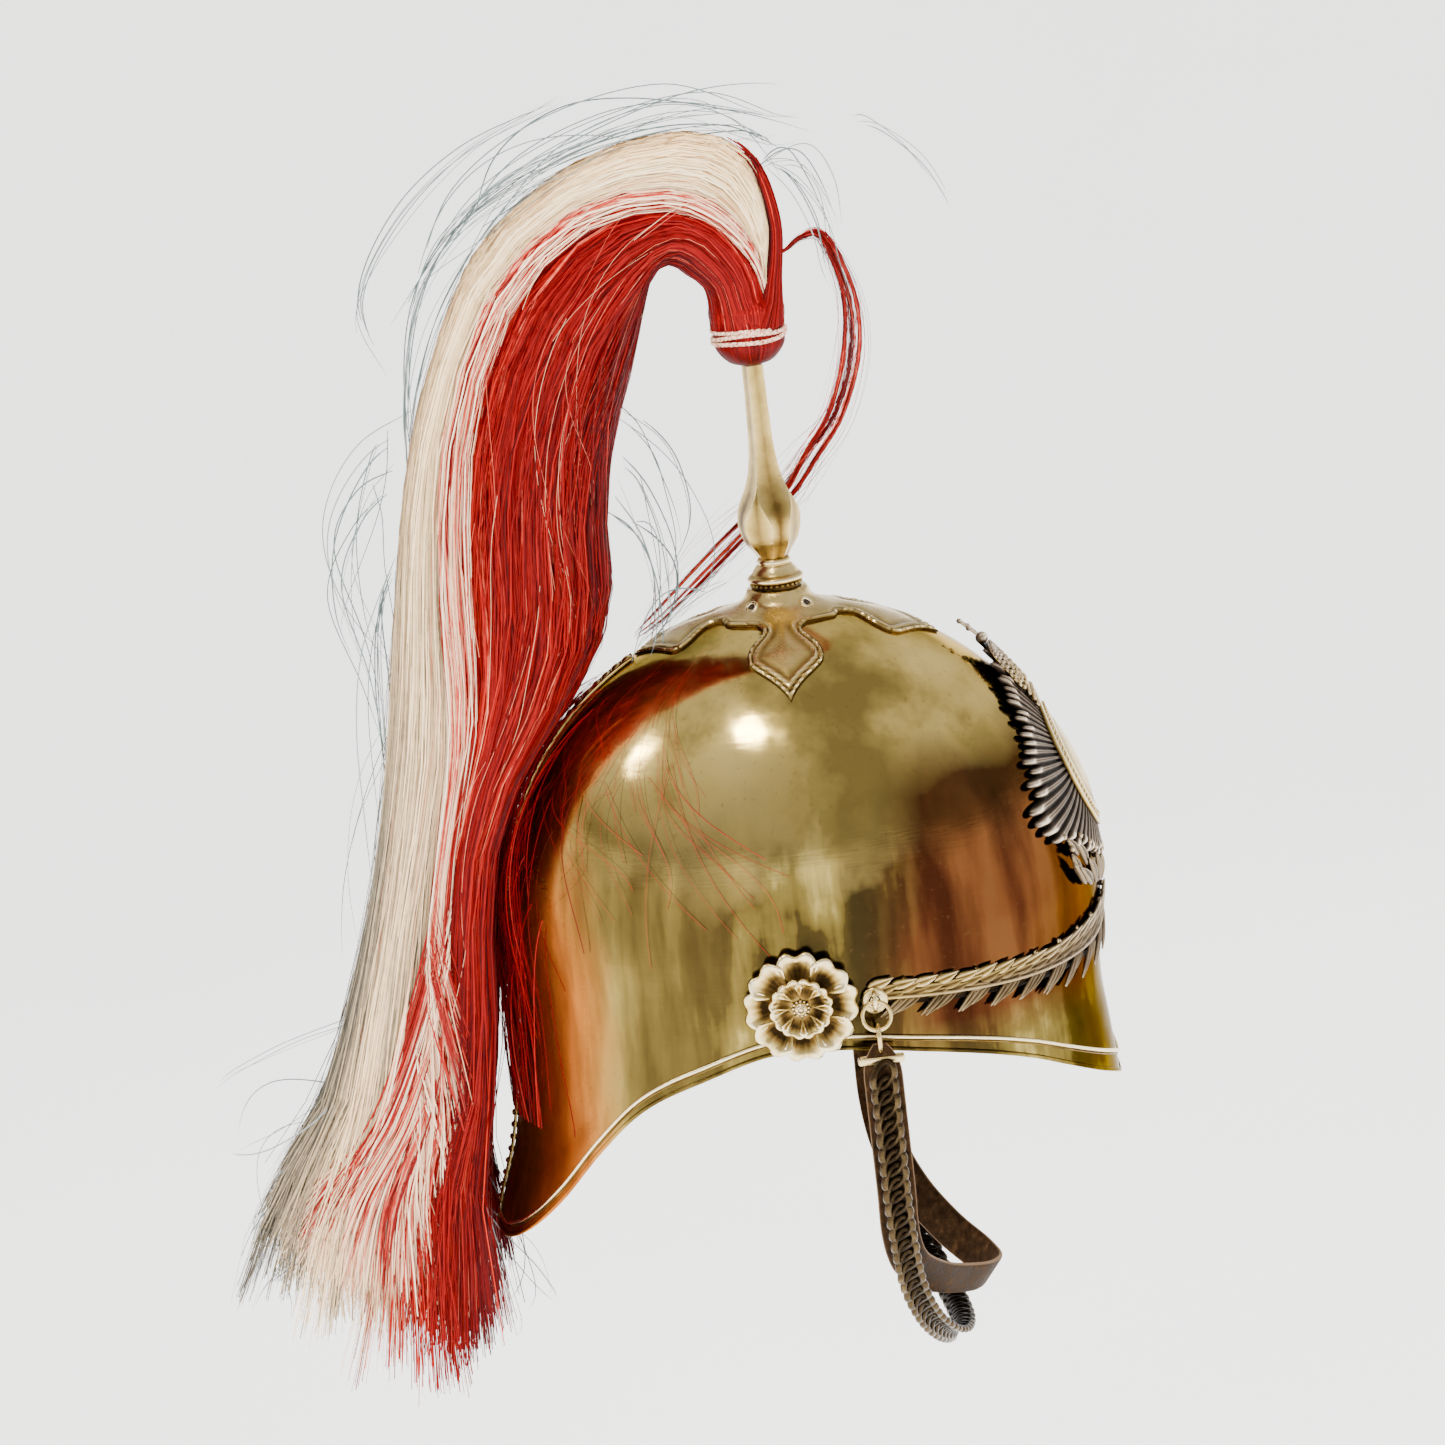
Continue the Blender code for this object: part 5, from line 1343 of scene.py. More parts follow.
def cross_hairs(finish):
    """Single fine hairs that stray over the plume's face."""
    dice = np.random.default_rng(8)
    count = 64
    steps = 24
    share = np.linspace(0.0, 1.0, steps)
    start = dice.uniform(0.5, 11.5, count)
    place = start[:, None] + dice.uniform(2.0, 4.6, count)[:, None] * share
    place = np.minimum(place, PLUME_END)
    near = np.where(dice.random(count) < 0.7, 1.5, 0.5) * math.pi
    first = near + dice.uniform(-0.9, 0.9, count)
    turned_by = dice.normal(0.0, 0.38, count)
    sway = 0.10 * np.sin(share * dice.uniform(2.0, 7.0, (count, 1)))
    angle = first[:, None] + turned_by[:, None] * share + sway
    reach = 1.02 + 0.07 * np.sin(share * math.pi) * dice.uniform(0.2, 1.6, count)[:, None]
    lines, offset = plume_point("all", place, angle, reach)
    lines = within_reach(keep_off_shell(lines))
    widths = np.full((count, steps), CROSS_HAIR_WIDTH) * dice.uniform(0.7, 1.4, count)[:, None]
    ribbons("cross_hairs", lines, offset, widths, dice.uniform(0.34, 0.72, count), finish)


def draped_hairs(finish):
    """Hair that has come away from the plume: a mat down the back seam, and fine hairs beside it."""
    dice = np.random.default_rng(19)
    mat = 620
    count = mat + 64
    steps = 20
    share = np.linspace(0.0, 1.0, steps)
    seam = np.arange(count) < mat
    first = np.radians(np.where(seam, dice.normal(180.0, 11.0, count), dice.uniform(120.0, 166.0, count)))
    last = first + np.radians(np.where(seam, dice.normal(0.0, 5.0, count), dice.normal(-8.0, 12.0, count)))
    high = np.where(seam, dice.uniform(0.035, 0.142, count), dice.uniform(0.105, 0.160, count))
    low = np.where(seam, high - dice.uniform(0.05, 0.13, count), high - dice.uniform(0.03, 0.08, count))
    low = np.maximum(low, -0.036)
    sway = np.radians(np.where(seam, 1.5, 4.0))[:, None] * np.sin(share * dice.uniform(1.0, 7.0, (count, 1)))
    angle = first[:, None] + (last - first)[:, None] * share + sway
    height = high[:, None] + (low - high)[:, None] * share**1.2
    swell = np.where(seam, dice.uniform(0.0018, 0.0078, count), dice.uniform(0.0004, 0.0026, count))
    proud = np.where(seam, 0.0016, 0.0006)[:, None] + swell[:, None] * np.sin(share * math.pi * 0.9 + 0.2)
    lines = lay(angle, height, proud)
    lines[..., 0] *= np.where(seam | (dice.random(count) < 0.7), 1.0, -1.0)[:, None]
    outward = unit(lines - np.array([0.0, 0.0, 0.03]))
    outward = outward + np.where(seam, 0.5, 0.0)[:, None, None] * dice.normal(0.0, 1.0, (count, 1, 3))
    broad = np.where(seam, 2.6, 1.0) * dice.uniform(0.6, 1.4, count)
    widths = np.full((count, steps), DRAPED_HAIR_WIDTH) * broad[:, None]
    tone = np.where(seam, dice.beta(2.4, 3.0, count) * 0.78, dice.uniform(0.35, 0.70, count))
    ribbons("draped_hairs", lines, outward, widths, tone, finish)


def make_loose_lock(finish):
    """The lock that swings out before the spike and lies across behind it, in three thin strands."""
    route = (
        (-0.030, -0.0100, 0.10, 0.30),
        (-0.014, -0.0500, 0.18, 0.50),
        (-0.010, -0.0745, 0.20, 0.60),
        (-0.004, -0.104, 0.27, 0.80),
        (0.004, -0.140, 0.25, 0.90),
        (0.016, -0.172, -0.016, 0.90),
        (0.036, -0.168, -0.073, 0.90),
        (0.056, -0.132, -0.132, 0.90),
        (0.074, -0.080, -0.172, 1.00),
        (0.090, -0.030, -0.208, 1.00),
        (0.098, 0.040, -0.237, 0.90),
        (0.094, 0.116, -0.272, 0.80),
        (0.084, 0.200, -0.311, 0.60),
        (0.076, 0.250, -0.330, 0.30),
    )
    radius = 0.0046
    rows = [(a * PLUME_REACH, b * PLUME_REACH, plume_height(c), d * radius) for a, b, c, d in route]
    path = curve_through([(i, *row) for i, row in enumerate(rows)])
    dice = np.random.default_rng(77)
    count = 210
    steps = 46
    end = 13.0 - np.abs(dice.normal(0.0, 1.3, count))
    place = end[:, None] * np.linspace(0.0, 1.0, steps)
    strand = dice.integers(0, 3, count)
    phase = (strand * 2.1)[:, None] + 0.7 * np.sin(place * 0.55 + strand[:, None])
    apart = np.clip(place - 3.0, 0.0, 3.0) / 3.0
    middle = np.stack([path(place, 1), path(place, 2), path(place, 3)], axis=-1)
    ahead = unit(np.gradient(middle, axis=1))
    side = unit(np.cross(ahead, (1.0, 0.0, 0.0)))
    other = np.cross(side, ahead)
    turn = dice.uniform(0.0, 2.0 * math.pi, count)[:, None]
    turn = turn + 0.6 * np.sin(place * 0.8 + dice.uniform(0, 6.3, count)[:, None])
    own = np.sqrt(dice.random(count))[:, None] * 0.28
    flying = (dice.random(count) < 0.16)[:, None] * np.clip(place - 2.0, 0.0, 9.0)
    flying = flying * dice.uniform(0.08, 0.34, count)[:, None]
    radius = path(place, 4)
    lean = np.cos(phase) * apart * 0.85 + np.cos(turn) * (own + flying)
    rise = np.sin(phase) * apart * 0.85 + np.sin(turn) * (own + flying)
    offset = side * lean[..., None] + other * rise[..., None]
    lines = keep_off_shell(middle + offset * radius[..., None])
    outward = side * np.cos(turn)[..., None] + other * np.sin(turn)[..., None]
    taper = np.interp(np.linspace(0, 1, steps), (0, 0.1, 0.9, 1), (0.7, 1, 0.9, 0.3))
    widths = np.full((count, steps), LOOSE_HAIR_WIDTH) * taper
    pale = dice.random(count) < 0.20
    tone = np.where(pale, dice.uniform(0.82, 0.95, count), dice.beta(2.0, 3.0, count) * 0.66)
    ribbons("loose_red_lock", lines, outward, widths, tone, finish, ("plume_stray_lock",))


# Stray hairs outside the plume: how many, how far they drift, and the points back and up that they pass, in
# millimetres
STRAY_ROUTES = (
    (5, 3.0, ((150, 282), (158, 315), (140, 348), (110, 371), (72, 384), (60, 386))),
    (6, 5.0, ((120, 330), (90, 362), (52, 378), (20, 380), (-12, 372), (-30, 362))),
    (7, 5.0, ((104, 338), (70, 362), (30, 372), (0, 370), (-16, 360), (-22, 352))),
    (5, 5.0, ((132, 318), (104, 350), (60, 372), (10, 381), (-22, 368), (-34, 366))),
    (6, 4.5, ((142, 300), (120, 336), (82, 360), (40, 372), (4, 370))),
    (12, 3.0, ((148, 230), (143, 270), (131, 306), (110, 334), (84, 352), (50, 361))),
    (3, 1.5, ((-52, 364), (-62, 362), (-76, 350), (-84, 336), (-86, 328))),
    (6, 3.0, ((-14, 352), (-26, 342), (-34, 326), (-36, 310), (-38, 298))),
    (5, 3.0, ((-8, 346), (-20, 350), (-30, 346), (-38, 330), (-42, 314))),
    (6, 4.0, ((146, 262), (162, 246), (176, 214), (178, 180), (170, 150))),
    (6, 4.0, ((150, 240), (168, 226), (180, 200), (172, 160), (168, 120))),
    (9, 4.0, ((156, 206), (166, 180), (170, 150), (172, 110), (176, 70))),
    (10, 4.0, ((160, 150), (168, 118), (174, 84), (180, 50), (186, 10))),
    (10, 4.0, ((170, 96), (178, 60), (184, 26), (190, -10), (196, -46))),
    (8, 5.0, ((176, 50), (190, 16), (198, -20), (208, -52), (220, -80))),
    (3, 2.0, ((180, 12), (206, 6), (230, 0), (250, -8), (262, -14))),
    (3, 3.0, ((196, -6), (214, -20), (236, -30), (252, -36), (260, -42))),
    (7, 5.0, ((206, -30), (222, -46), (238, -64), (250, -80), (256, -94))),
    (7, 5.0, ((200, -60), (214, -76), (228, -90), (244, -102), (254, -112))),
    (2, 1.4, ((128, 232), (104, 246), (88, 242), (90, 226), (108, 220), (122, 232), (116, 252), (92, 262))),
    (5, 4.0, ((60, 236), (48, 218), (40, 192), (42, 170), (52, 156))),
    (5, 4.0, ((66, 214), (52, 200), (46, 182), (50, 160), (60, 148))),
    (5, 4.0, ((60, 258), (44, 240), (38, 222), (36, 200), (44, 176))),
    (4, 3.0, ((20, 180), (34, 176), (48, 168), (60, 156), (70, 140))),
    (3, 3.0, ((158, -40), (150, -80), (144, -110), (142, -128), (146, -136))),
    (3, 3.0, ((160, -60), (152, -90), (138, -112), (132, -124), (130, -130))),
)


def make_stray_hairs(finish):
    """Grey hairs that stand away from the plume, in sparse bunches."""
    dice = np.random.default_rng(5)
    steps = 36
    lines = []
    for count, stray, route in STRAY_ROUTES:
        path = curve_through([(i, y / 1000.0, z / 1000.0) for i, (y, z) in enumerate(route)])
        for _ in range(count):
            first = dice.uniform(0.0, 0.18) * (len(route) - 1.0)
            last = (1.0 - dice.uniform(0.0, 0.22)) * (len(route) - 1.0)
            place = np.linspace(first, last, steps)
            drift = dice.normal(0.0, stray / STRAY_DRIFT_SCALE, 2)
            swell = np.sin(np.linspace(0.0, math.pi * dice.uniform(0.6, 1.4), steps) + dice.uniform(-0.4, 0.4))
            across = dice.normal(0.0, 0.014) + dice.normal(0.0, 0.006) * swell
            back = path(place, 1) + drift[0] * swell
            up = path(place, 2) + drift[1] * swell
            lines.append(np.stack([np.broadcast_to(across, steps), back, up], axis=-1))
    lines = within_reach(np.array(lines))
    aside = unit(dice.normal(0.0, 0.3, (len(lines), 1, 3)) + np.array([-1.0, 0.0, 0.25]))
    outward = np.broadcast_to(aside, lines.shape)
    taper = np.interp(np.linspace(0, 1, steps), (0, 0.1, 0.8, 1), (0.5, 1, 0.8, 0.2))
    widths = taper * dice.uniform(*STRAY_HAIR_WIDTHS, len(lines))[:, None]
    ribbons("stray_hairs", lines, outward, widths, dice.random(len(lines)), finish)


def make_plume_head(red, cord):
    """Hair drawn up over a ball and bound at its waist with cord."""
    shape = curve_through(
        (
            (0.0, 0.0048, 0.0000),
            (0.10, 0.0084, 0.0012),
            (0.22, 0.0114, 0.0040),
            (0.34, 0.0136, 0.0074),
            (0.46, 0.0141, 0.0104),
            (0.58, 0.0140, 0.0150),
            (0.70, 0.0150, 0.0190),
            (0.84, 0.0152, 0.0250),
            (1.00, 0.0100, 0.0300),
        )
    )
    rows, sides = 48, 64
    share = np.linspace(0.0, 1.0, rows)
    profile = np.stack([shape(share, 1) - 0.0010, shape(share, 2) + HEAD_FOOT], axis=-1)
    points, faces = turned(profile, sides)
    faces += end_caps(rows, sides)
    tone = np.full(len(points), 0.16)
    piece("plume_head_core", points, faces, red, ("plume_head",), {"tone": tone, "along": tone * 0.0})
    dice = np.random.default_rng(31)
    count = 1300
    steps = 14
    start = dice.uniform(0.0, 0.12, count)
    end = dice.uniform(0.74, 0.98, count)
    place = start[:, None] + (end - start)[:, None] * np.linspace(0.0, 1.0, steps)
    turn = dice.uniform(0.0, 2.0 * math.pi, count)[:, None]
    turn = turn + dice.normal(0.0, 0.16, count)[:, None] * place
    radius = shape(place, 1) + dice.uniform(-0.0006, 0.0008, count)[:, None] * np.sin(place * math.pi)
    out = np.stack([np.cos(turn), np.sin(turn), np.zeros_like(turn)], axis=-1)
    lines = out * radius[..., None]
    lines[..., 2] = shape(place, 2) + HEAD_FOOT
    widths = np.full((count, steps), HEAD_HAIR_WIDTH) * dice.uniform(0.6, 1.3, count)[:, None]
    # Painted shade: the hair darkens towards the foot of the ball, under its swell.
    below = 0.34 * np.clip(1.0 - place / 0.40, 0.0, 1.0)
    tone = np.clip(dice.beta(2.4, 3.0, count)[:, None] * 0.74 - below, 0.02, 1.0)
    ribbons("plume_head_hair", lines, out, widths, tone, red)
    strands = []
    t = np.linspace(0.0, 1.0, 380)
    for ply in range(3):
        angle = 2.0 * math.pi * CORD_TURNS * t
        twist = 2.0 * math.pi * 34.0 * t + ply * 2.0 * math.pi / 3.0
        sway = 0.0006 * np.sin(angle * 1.37 + 0.8) + 0.0004 * np.sin(angle * 2.9)
        radius = CORD_RADIUS + CORD_PLY * np.cos(twist)
        height = HEAD_FOOT + 0.0102 + 0.0056 * t + sway + CORD_PLY * np.sin(twist)
        route = np.stack([radius * np.cos(angle), radius * np.sin(angle), height], axis=-1)
        strands.append((*sweep(route, round_section(0.00052, 6)), 0.5))
    points, faces, _ = join(strands)
    piece("plume_binding_cord", points, faces, cord, ("plume_binding",))


# Outline of the rayed plate: radius by degrees from the top
RAY_OUTLINE = curve_through(
    (
        (0.0, 0.84),
        (30.0, 0.76),
        (50.0, 0.72),
        (75.0, 0.80),
        (92.0, 0.94),
        (103.0, 1.06),
        (114.0, 0.96),
        (140.0, 0.78),
        (180.0, 0.70),
    )
)


def make_front_rays(finish):
    """A fan of narrow grooved rays with knobbed ends, on a thin sheet."""
    per_ray = 10
    around = RAY_COUNT * per_ray
    rings = 34
    turn = once_round(around)
    passed = turn * RAY_COUNT / (2.0 * math.pi)
    phase = passed % 1.0 * 2.0 - 1.0
    crest = np.clip(1.0 - phase**2, 0.0, 1.0)
    uneven = np.array([0.0, 0.035, -0.03, 0.02, -0.045, 0.01, -0.015])[np.floor(passed).astype(int) % 7]
    reach = RAY_OUTLINE(degrees_off(turn)) * RAY_REACH * (1.0 + uneven - 0.12 * (1.0 - crest**0.5))
    share = np.linspace(0.36, 1.0, rings)[:, None]
    x = -np.sin(turn) * reach * share
    z = RAY_CENTRE + np.cos(turn) * reach * share
    knob = np.exp(-(((share - 0.950) / 0.035) ** 2))
    ended = 1.0 - np.clip((share - 0.955) / 0.045, 0.0, 1.0) ** 2 * 0.8
    groove = np.exp(-((phase / 0.14) ** 2)) * (1.0 - knob)
    rise = 0.0005 + (0.0014 * crest - 0.0004 * groove + 0.0007 * knob * crest) * ended
    raised = crest**5 * (1.0 - 0.85 * groove) * (0.30 + 0.50 * share) + 0.60 * knob * crest**2
    raised = np.clip(raised, 0.0, 1.0)
    points = before_dome(x, z, rise)
    foot = before_dome(x[-1], z[-1], np.full(around, -0.0006))
    points = np.concatenate([points.reshape(-1, 3), foot])
    raised = np.concatenate([np.broadcast_to(raised, x.shape).ravel(), np.zeros(around)])
    faces = turned_over(grid(rings + 1, around, closed=True))
    gold = np.zeros(len(points))
    piece("front_rays", points, faces, finish, ("front_plate",), {"relief": raised, "gold": gold})


def make_front_boss(finish):
    """A plain oval dome in two raised borders, with a ring of pearls on the band between them."""
    rows = (
        (0.00, 0.0052, 0.75),
        (0.30, 0.0049, 0.75),
        (0.50, 0.0041, 0.70),
        (0.62, 0.0032, 0.60),
        (0.66, 0.0022, 0.10),
        (0.69, 0.0022, 0.10),
        (0.71, 0.0036, 0.90),
        (0.745, 0.0041, 1.00),
        (0.78, 0.0035, 0.85),
        (0.80, 0.0024, 0.15),
        (0.82, 0.0024, 0.35),
        (0.88, 0.0027, 0.50),
        (0.92, 0.0026, 0.45),
        (0.94, 0.0034, 0.90),
        (0.965, 0.0038, 1.00),
        (0.99, 0.0030, 0.70),
        (1.00, 0.0012, 0.20),
        (1.00, 0.0000, 0.10),
    )
    around = 120
    turn = once_round(around)
    share = np.array([max(row[0], 0.002) for row in rows])[:, None]
    rise = np.array([row[1] for row in rows])[:, None]
    x = -np.sin(turn) * BOSS_HALF_WIDTH * share
    z = BOSS_CENTRE + np.cos(turn) * BOSS_HALF_HEIGHT * share
    points = before_dome(x, z, BOSS_SEAT + rise * BOSS_RELIEF)
    raised = np.repeat([row[2] for row in rows], around)
    faces = turned_over(grid(len(rows), around, closed=True))
    faces.append(list(range(around)))
    piece("oval_boss", points, faces, finish, ("front_boss",), {"relief": raised})
    count = 64
    turn = np.arange(count) * 2.0 * math.pi / count
    x = -np.sin(turn) * BOSS_HALF_WIDTH * PEARL_RING
    z = BOSS_CENTRE + np.cos(turn) * BOSS_HALF_HEIGHT * PEARL_RING
    spots = before_dome(x, z, np.full(count, 0.0030))
    points, faces, tops = beads(spots, [(0.00085, 0.0006)] * count, [(0.0, -1.0, 0.2)] * count, 8, 4)
    piece("boss_pearls", points, faces, finish, (), {"relief": tops})


def make_front_crown(finish):
    """A plain crown of beaded arches over a beaded band, with an orb and a small cross."""
    parts = []
    ahead = unit(np.array([0.0, -0.92, 0.40]))

    def seated(spots, lift):
        """Points on the plate from millimetres across and up."""
        spots = np.array(spots, dtype=float) / 1000.0
        return before_dome(spots[:, 0], spots[:, 1], np.full(len(spots), BOSS_SEAT + (lift - 0.0022) * 0.6))

    def row(spots, radius, lift):
        count = len(spots)
        parts.append(beads(seated(spots, lift), [(radius, radius)] * count, [ahead] * count, 8, 4))

    def rail(spots, radius, lift):
        parts.append((*sweep(seated(spots, lift), round_section(radius, 8)), 0.75))

    def arc(width, base, top, lean, count):
        t = np.linspace(0.0, math.pi / 2.0, count)
        return [(lean * width * math.cos(a) ** 0.6, base + (top - base) * math.sin(a)) for a in t]

    across = np.linspace(-13.2, 13.2, 13)
    for base, lift in ((116.5, 0.0040), (121.5, 0.0042)):
        rail([(x, base - 0.012 * x * x) for x in np.linspace(-14.2, 14.2, 15)], 0.0009, lift)
    row([(x, 119.0 - 0.012 * x * x) for x in across], 0.00125, 0.0044)
    for lean in (-1.0, -0.52, 0.52, 1.0):
        line = arc(15.0, 122.5, 139.0, lean, 12)
        rail(line, 0.0008, 0.0040)
        row(line, 0.00120, 0.0049)
    rail([(0.0, 122.0), (0.0, 128.0), (0.0, 134.0), (0.0, 139.5)], 0.0008, 0.0046)
    row([(0.0, z) for z in np.linspace(123.5, 138.0, 7)], 0.00120, 0.0056)
    for x in (-11.5, -5.8, 0.0, 5.8, 11.5):
        row([(x, 124.6), (x - 1.1, 126.0), (x + 1.1, 126.0), (x, 127.4)], 0.0009, 0.0050)
    row([(0.0, 142.2)], 0.0028, 0.0042)
    rail([(0.0, 142.0), (0.0, 145.0), (0.0, 148.0), (0.0, 150.0)], 0.0008, 0.0042)
    rail([(-2.4, 147.4), (0.0, 147.4), (2.4, 147.4)], 0.0008, 0.0042)
    row([(0.0, 150.4), (-2.5, 147.4), (2.5, 147.4)], 0.0012, 0.0042)
    sheet_x = np.linspace(-1.0, 1.0, 13)
    sheet = [(14.4, 115.8), (14.2, 122.0), (15.0, 127.0), (14.0, 132.0), (10.0, 137.0), (3.0, 140.5)]
    x = np.array([[side * half / 1000.0 for side in sheet_x] for half, _ in sheet])
    z = np.array([[up / 1000.0 for _ in sheet_x] for _, up in sheet])
    back = before_dome(x, z, np.full(x.shape, 0.0022))
    parts.append((back.reshape(-1, 3), turned_over(grid(len(sheet), len(sheet_x))), 0.02))
    points, faces, raised = join(parts)
    gold = np.clip((0.1352 - points[:, 2]) / 0.010, 0.0, 0.7)
    piece("beaded_crown", points, faces, finish, ("front_crown",), {"relief": raised, "gold": gold})


def leaf(lay_at, root, direction, length, width, lift, rise, curl=0.12):
    """A pointed leaf with a sunk vein and a lifted tip, laid through lay_at(across, up, proud)."""
    direction = np.array(direction, dtype=float)
    across = np.array([-direction[1], direction[0]])
    rows = 9
    share = np.linspace(0.0, 1.0, rows)
    half = width / 2.0 * np.sin(np.clip(share * 0.94 + 0.06, 0.0, 1.0) ** 0.75 * math.pi) + width * 0.012
    sides = np.array([-1.0, -0.55, 0.0, 0.55, 1.0])
    profile = np.array([0.0, 1.0, 0.45, 1.0, 0.0])
    bright = np.array([0.35, 1.0, 0.10, 0.95, 0.30])
    bend = curl * length * share**2
    flat = root + direction * (share * length)[:, None] + across * bend[:, None]
    spots = flat[:, None] + across * (half[:, None] * sides)[..., None]
    swell = np.sin(share * math.pi * 0.8 + 0.3)[:, None]
    proud = lift + rise * profile * swell + rise * 0.7 * share[:, None] ** 2
    points = lay_at(spots[..., 0], spots[..., 1], proud)
    raised = np.broadcast_to(bright * 0.58, (rows, 5)) + 0.36 * share[:, None] ** 2 * bright
    return points.reshape(-1, 3), grid(rows, 5), np.clip(raised, 0.0, 1.0).ravel()


# Sprays by share of their length, from the rosette to the front: height, and how full the leaves are
SPRAY_LINE = curve_through(
    (
        (0.00, 1.24, 0.00),
        (0.20, 1.05, 0.05),
        (0.45, 0.90, 0.25),
        (0.65, 0.92, 0.70),
        (0.85, 1.10, 1.00),
        (1.00, 1.45, 0.90),
    )
)


def make_spray(side, name, finish):
    """Small leaves along the top of a stem that point ahead, and long blades in threes swept back under it."""

    def lay_at(run, up, proud):
        share = np.clip(run / SPRAY_LENGTH, -0.05, 1.03)
        angle = SPRAY_BACK + (SPRAY_FRONT - SPRAY_BACK) * share
        height = SPRAY_LINE(np.clip(share, 0.0, 1.0), 1) * SPRAY_HEIGHT + up
        points = lay(angle, height, proud)
        points[..., 0] *= side
        return points

    dice = np.random.default_rng(12)
    parts = []
    stations = 17
    for i in range(stations):
        share = (i + 0.2) / stations
        run = share * SPRAY_LENGTH * 0.97
        half = 0.0082 + 0.0036 * float(SPRAY_LINE(share, 2))
        for tier, (foot, tilt) in enumerate(((0.02, 6.0), (0.28, 9.0), (0.56, 13.0))):
            tilt = math.radians(tilt + dice.normal(0.0, 4.0))
            root = np.array([run - 0.0022 * tier, half * foot])
            direction = (math.cos(tilt), math.sin(tilt))
            grown = 0.0125 * (half / 0.0100)
            lift = 0.0005 + 0.0003 * tier
            points, faces, raised = leaf(lay_at, root, direction, grown, 0.0046, lift, 0.0013)
            parts.append((points, faces, raised * (0.62, 0.80, 1.25)[tier]))
    groups = 10
    for i in range(groups):
        share = (i + 1.15) / groups
        run = share * SPRAY_LENGTH
        half = 0.0082 + 0.0042 * float(SPRAY_LINE(share, 2))
        for k, length in enumerate((0.0150, 0.0172, 0.0150)):
            tilt = math.radians(42.0 + 3.0 * (k - 1) + dice.normal(0.0, 1.5))
            root = np.array([run - 0.0036 * k, half * 0.08 - 0.0004 * k])
            direction = (-math.cos(tilt), -math.sin(tilt))
            grown = length * (half / 0.0105)
            lift = 0.0008 + 0.0002 * k
            points, faces, raised = leaf(lay_at, root, direction, grown, 0.0026, lift, 0.0014, -0.08)
            parts.append((points, faces, raised * 0.78))
        spot = lay_at(np.array([run - 0.006]), np.array([half * 0.86]), np.array([0.0012]))
        parts.append(beads(spot, [(0.0012, 0.0010)], [unit(spot[0] * np.array([1.0, 1.0, 0.0]))], 8, 4))
    steps = 60
    stem = lay_at(np.linspace(0.0, SPRAY_LENGTH * 1.01, steps), np.zeros(steps), np.full(steps, 0.0014))
    parts.append((*sweep(stem, round_section(0.0007, 8)), 0.6))
    # Painted shade: a backing sheet behind the leaves, painted as dark as the deepest hollows, shows as shade
    # between and under them.
    run = np.linspace(0.002, SPRAY_LENGTH, steps)[:, None]
    half = 0.0060 + 0.0035 * SPRAY_LINE(np.clip(run / SPRAY_LENGTH, 0.0, 1.0), 2)
    up = half * np.linspace(-0.55, 1.0, 7)
    backing = lay_at(np.broadcast_to(run, up.shape), up, np.full(up.shape, 0.0004))
    parts.append((backing.reshape(-1, 3), grid(steps, 7), 0.0))
    points, faces, raised = join(parts)
    level = SPRAY_LINE(np.full(len(points), 0.5), 1) * SPRAY_HEIGHT
    gold = np.clip((points[:, 2] - level + 0.001) / 0.006, 0.45, 1.0)
    gold = gold * np.clip((points[:, 1] + 0.135) / 0.06, 0.25, 1.0)
    obj = piece(name, points, faces, finish, (f"leaf_{name}",), {"relief": raised, "gold": gold})
    thicken(obj, SHEET_LEAF_THICKNESS, 0.0)


def make_sprigs(finish):
    """Short curling leaves where the sprays meet the front plate."""
    parts = []
    for side in (-1.0, 1.0):
        for root, tilt, length, wide in (
            ((30.0, 40.0), 62.0, 15.0, 5.0),
            ((36.0, 41.0), 48.0, 15.0, 5.0),
            ((42.0, 43.0), 58.0, 14.0, 4.6),
            ((24.0, 39.0), 76.0, 14.0, 5.0),
            ((46.0, 47.0), 74.0, 12.0, 4.2),
            ((38.0, 50.0), 66.0, 13.0, 4.6),
            ((44.0, 56.0), 60.0, 11.0, 4.2),
            ((18.0, 38.0), 84.0, 12.0, 4.8),
        ):
            spot = np.array([side * root[0], root[1]]) / 1000.0
            turn = math.radians(tilt)
            direction = (side * math.cos(turn), math.sin(turn))
            parts.append(leaf(before_dome, spot, direction, length / 1000.0, wide / 1000.0, 0.0006, 0.0016))
        spots = np.array([(33.0, 58.0), (40.0, 63.0), (49.0, 60.0), (51.5, 66.0), (27.0, 54.0)]) / 1000.0
        centres = before_dome(side * spots[:, 0], spots[:, 1], np.full(5, 0.0016))
        parts.append(beads(centres, [(0.0014, 0.0012)] * 5, [(0.0, -1.0, 0.0)] * 5, 8, 4))
    points, faces, raised = join(parts)
    gold = np.full(len(points), 0.25)
    obj = piece("front_sprigs", points, faces, finish, (), {"relief": raised, "gold": gold})
    thicken(obj, SHEET_LEAF_THICKNESS, 0.0)


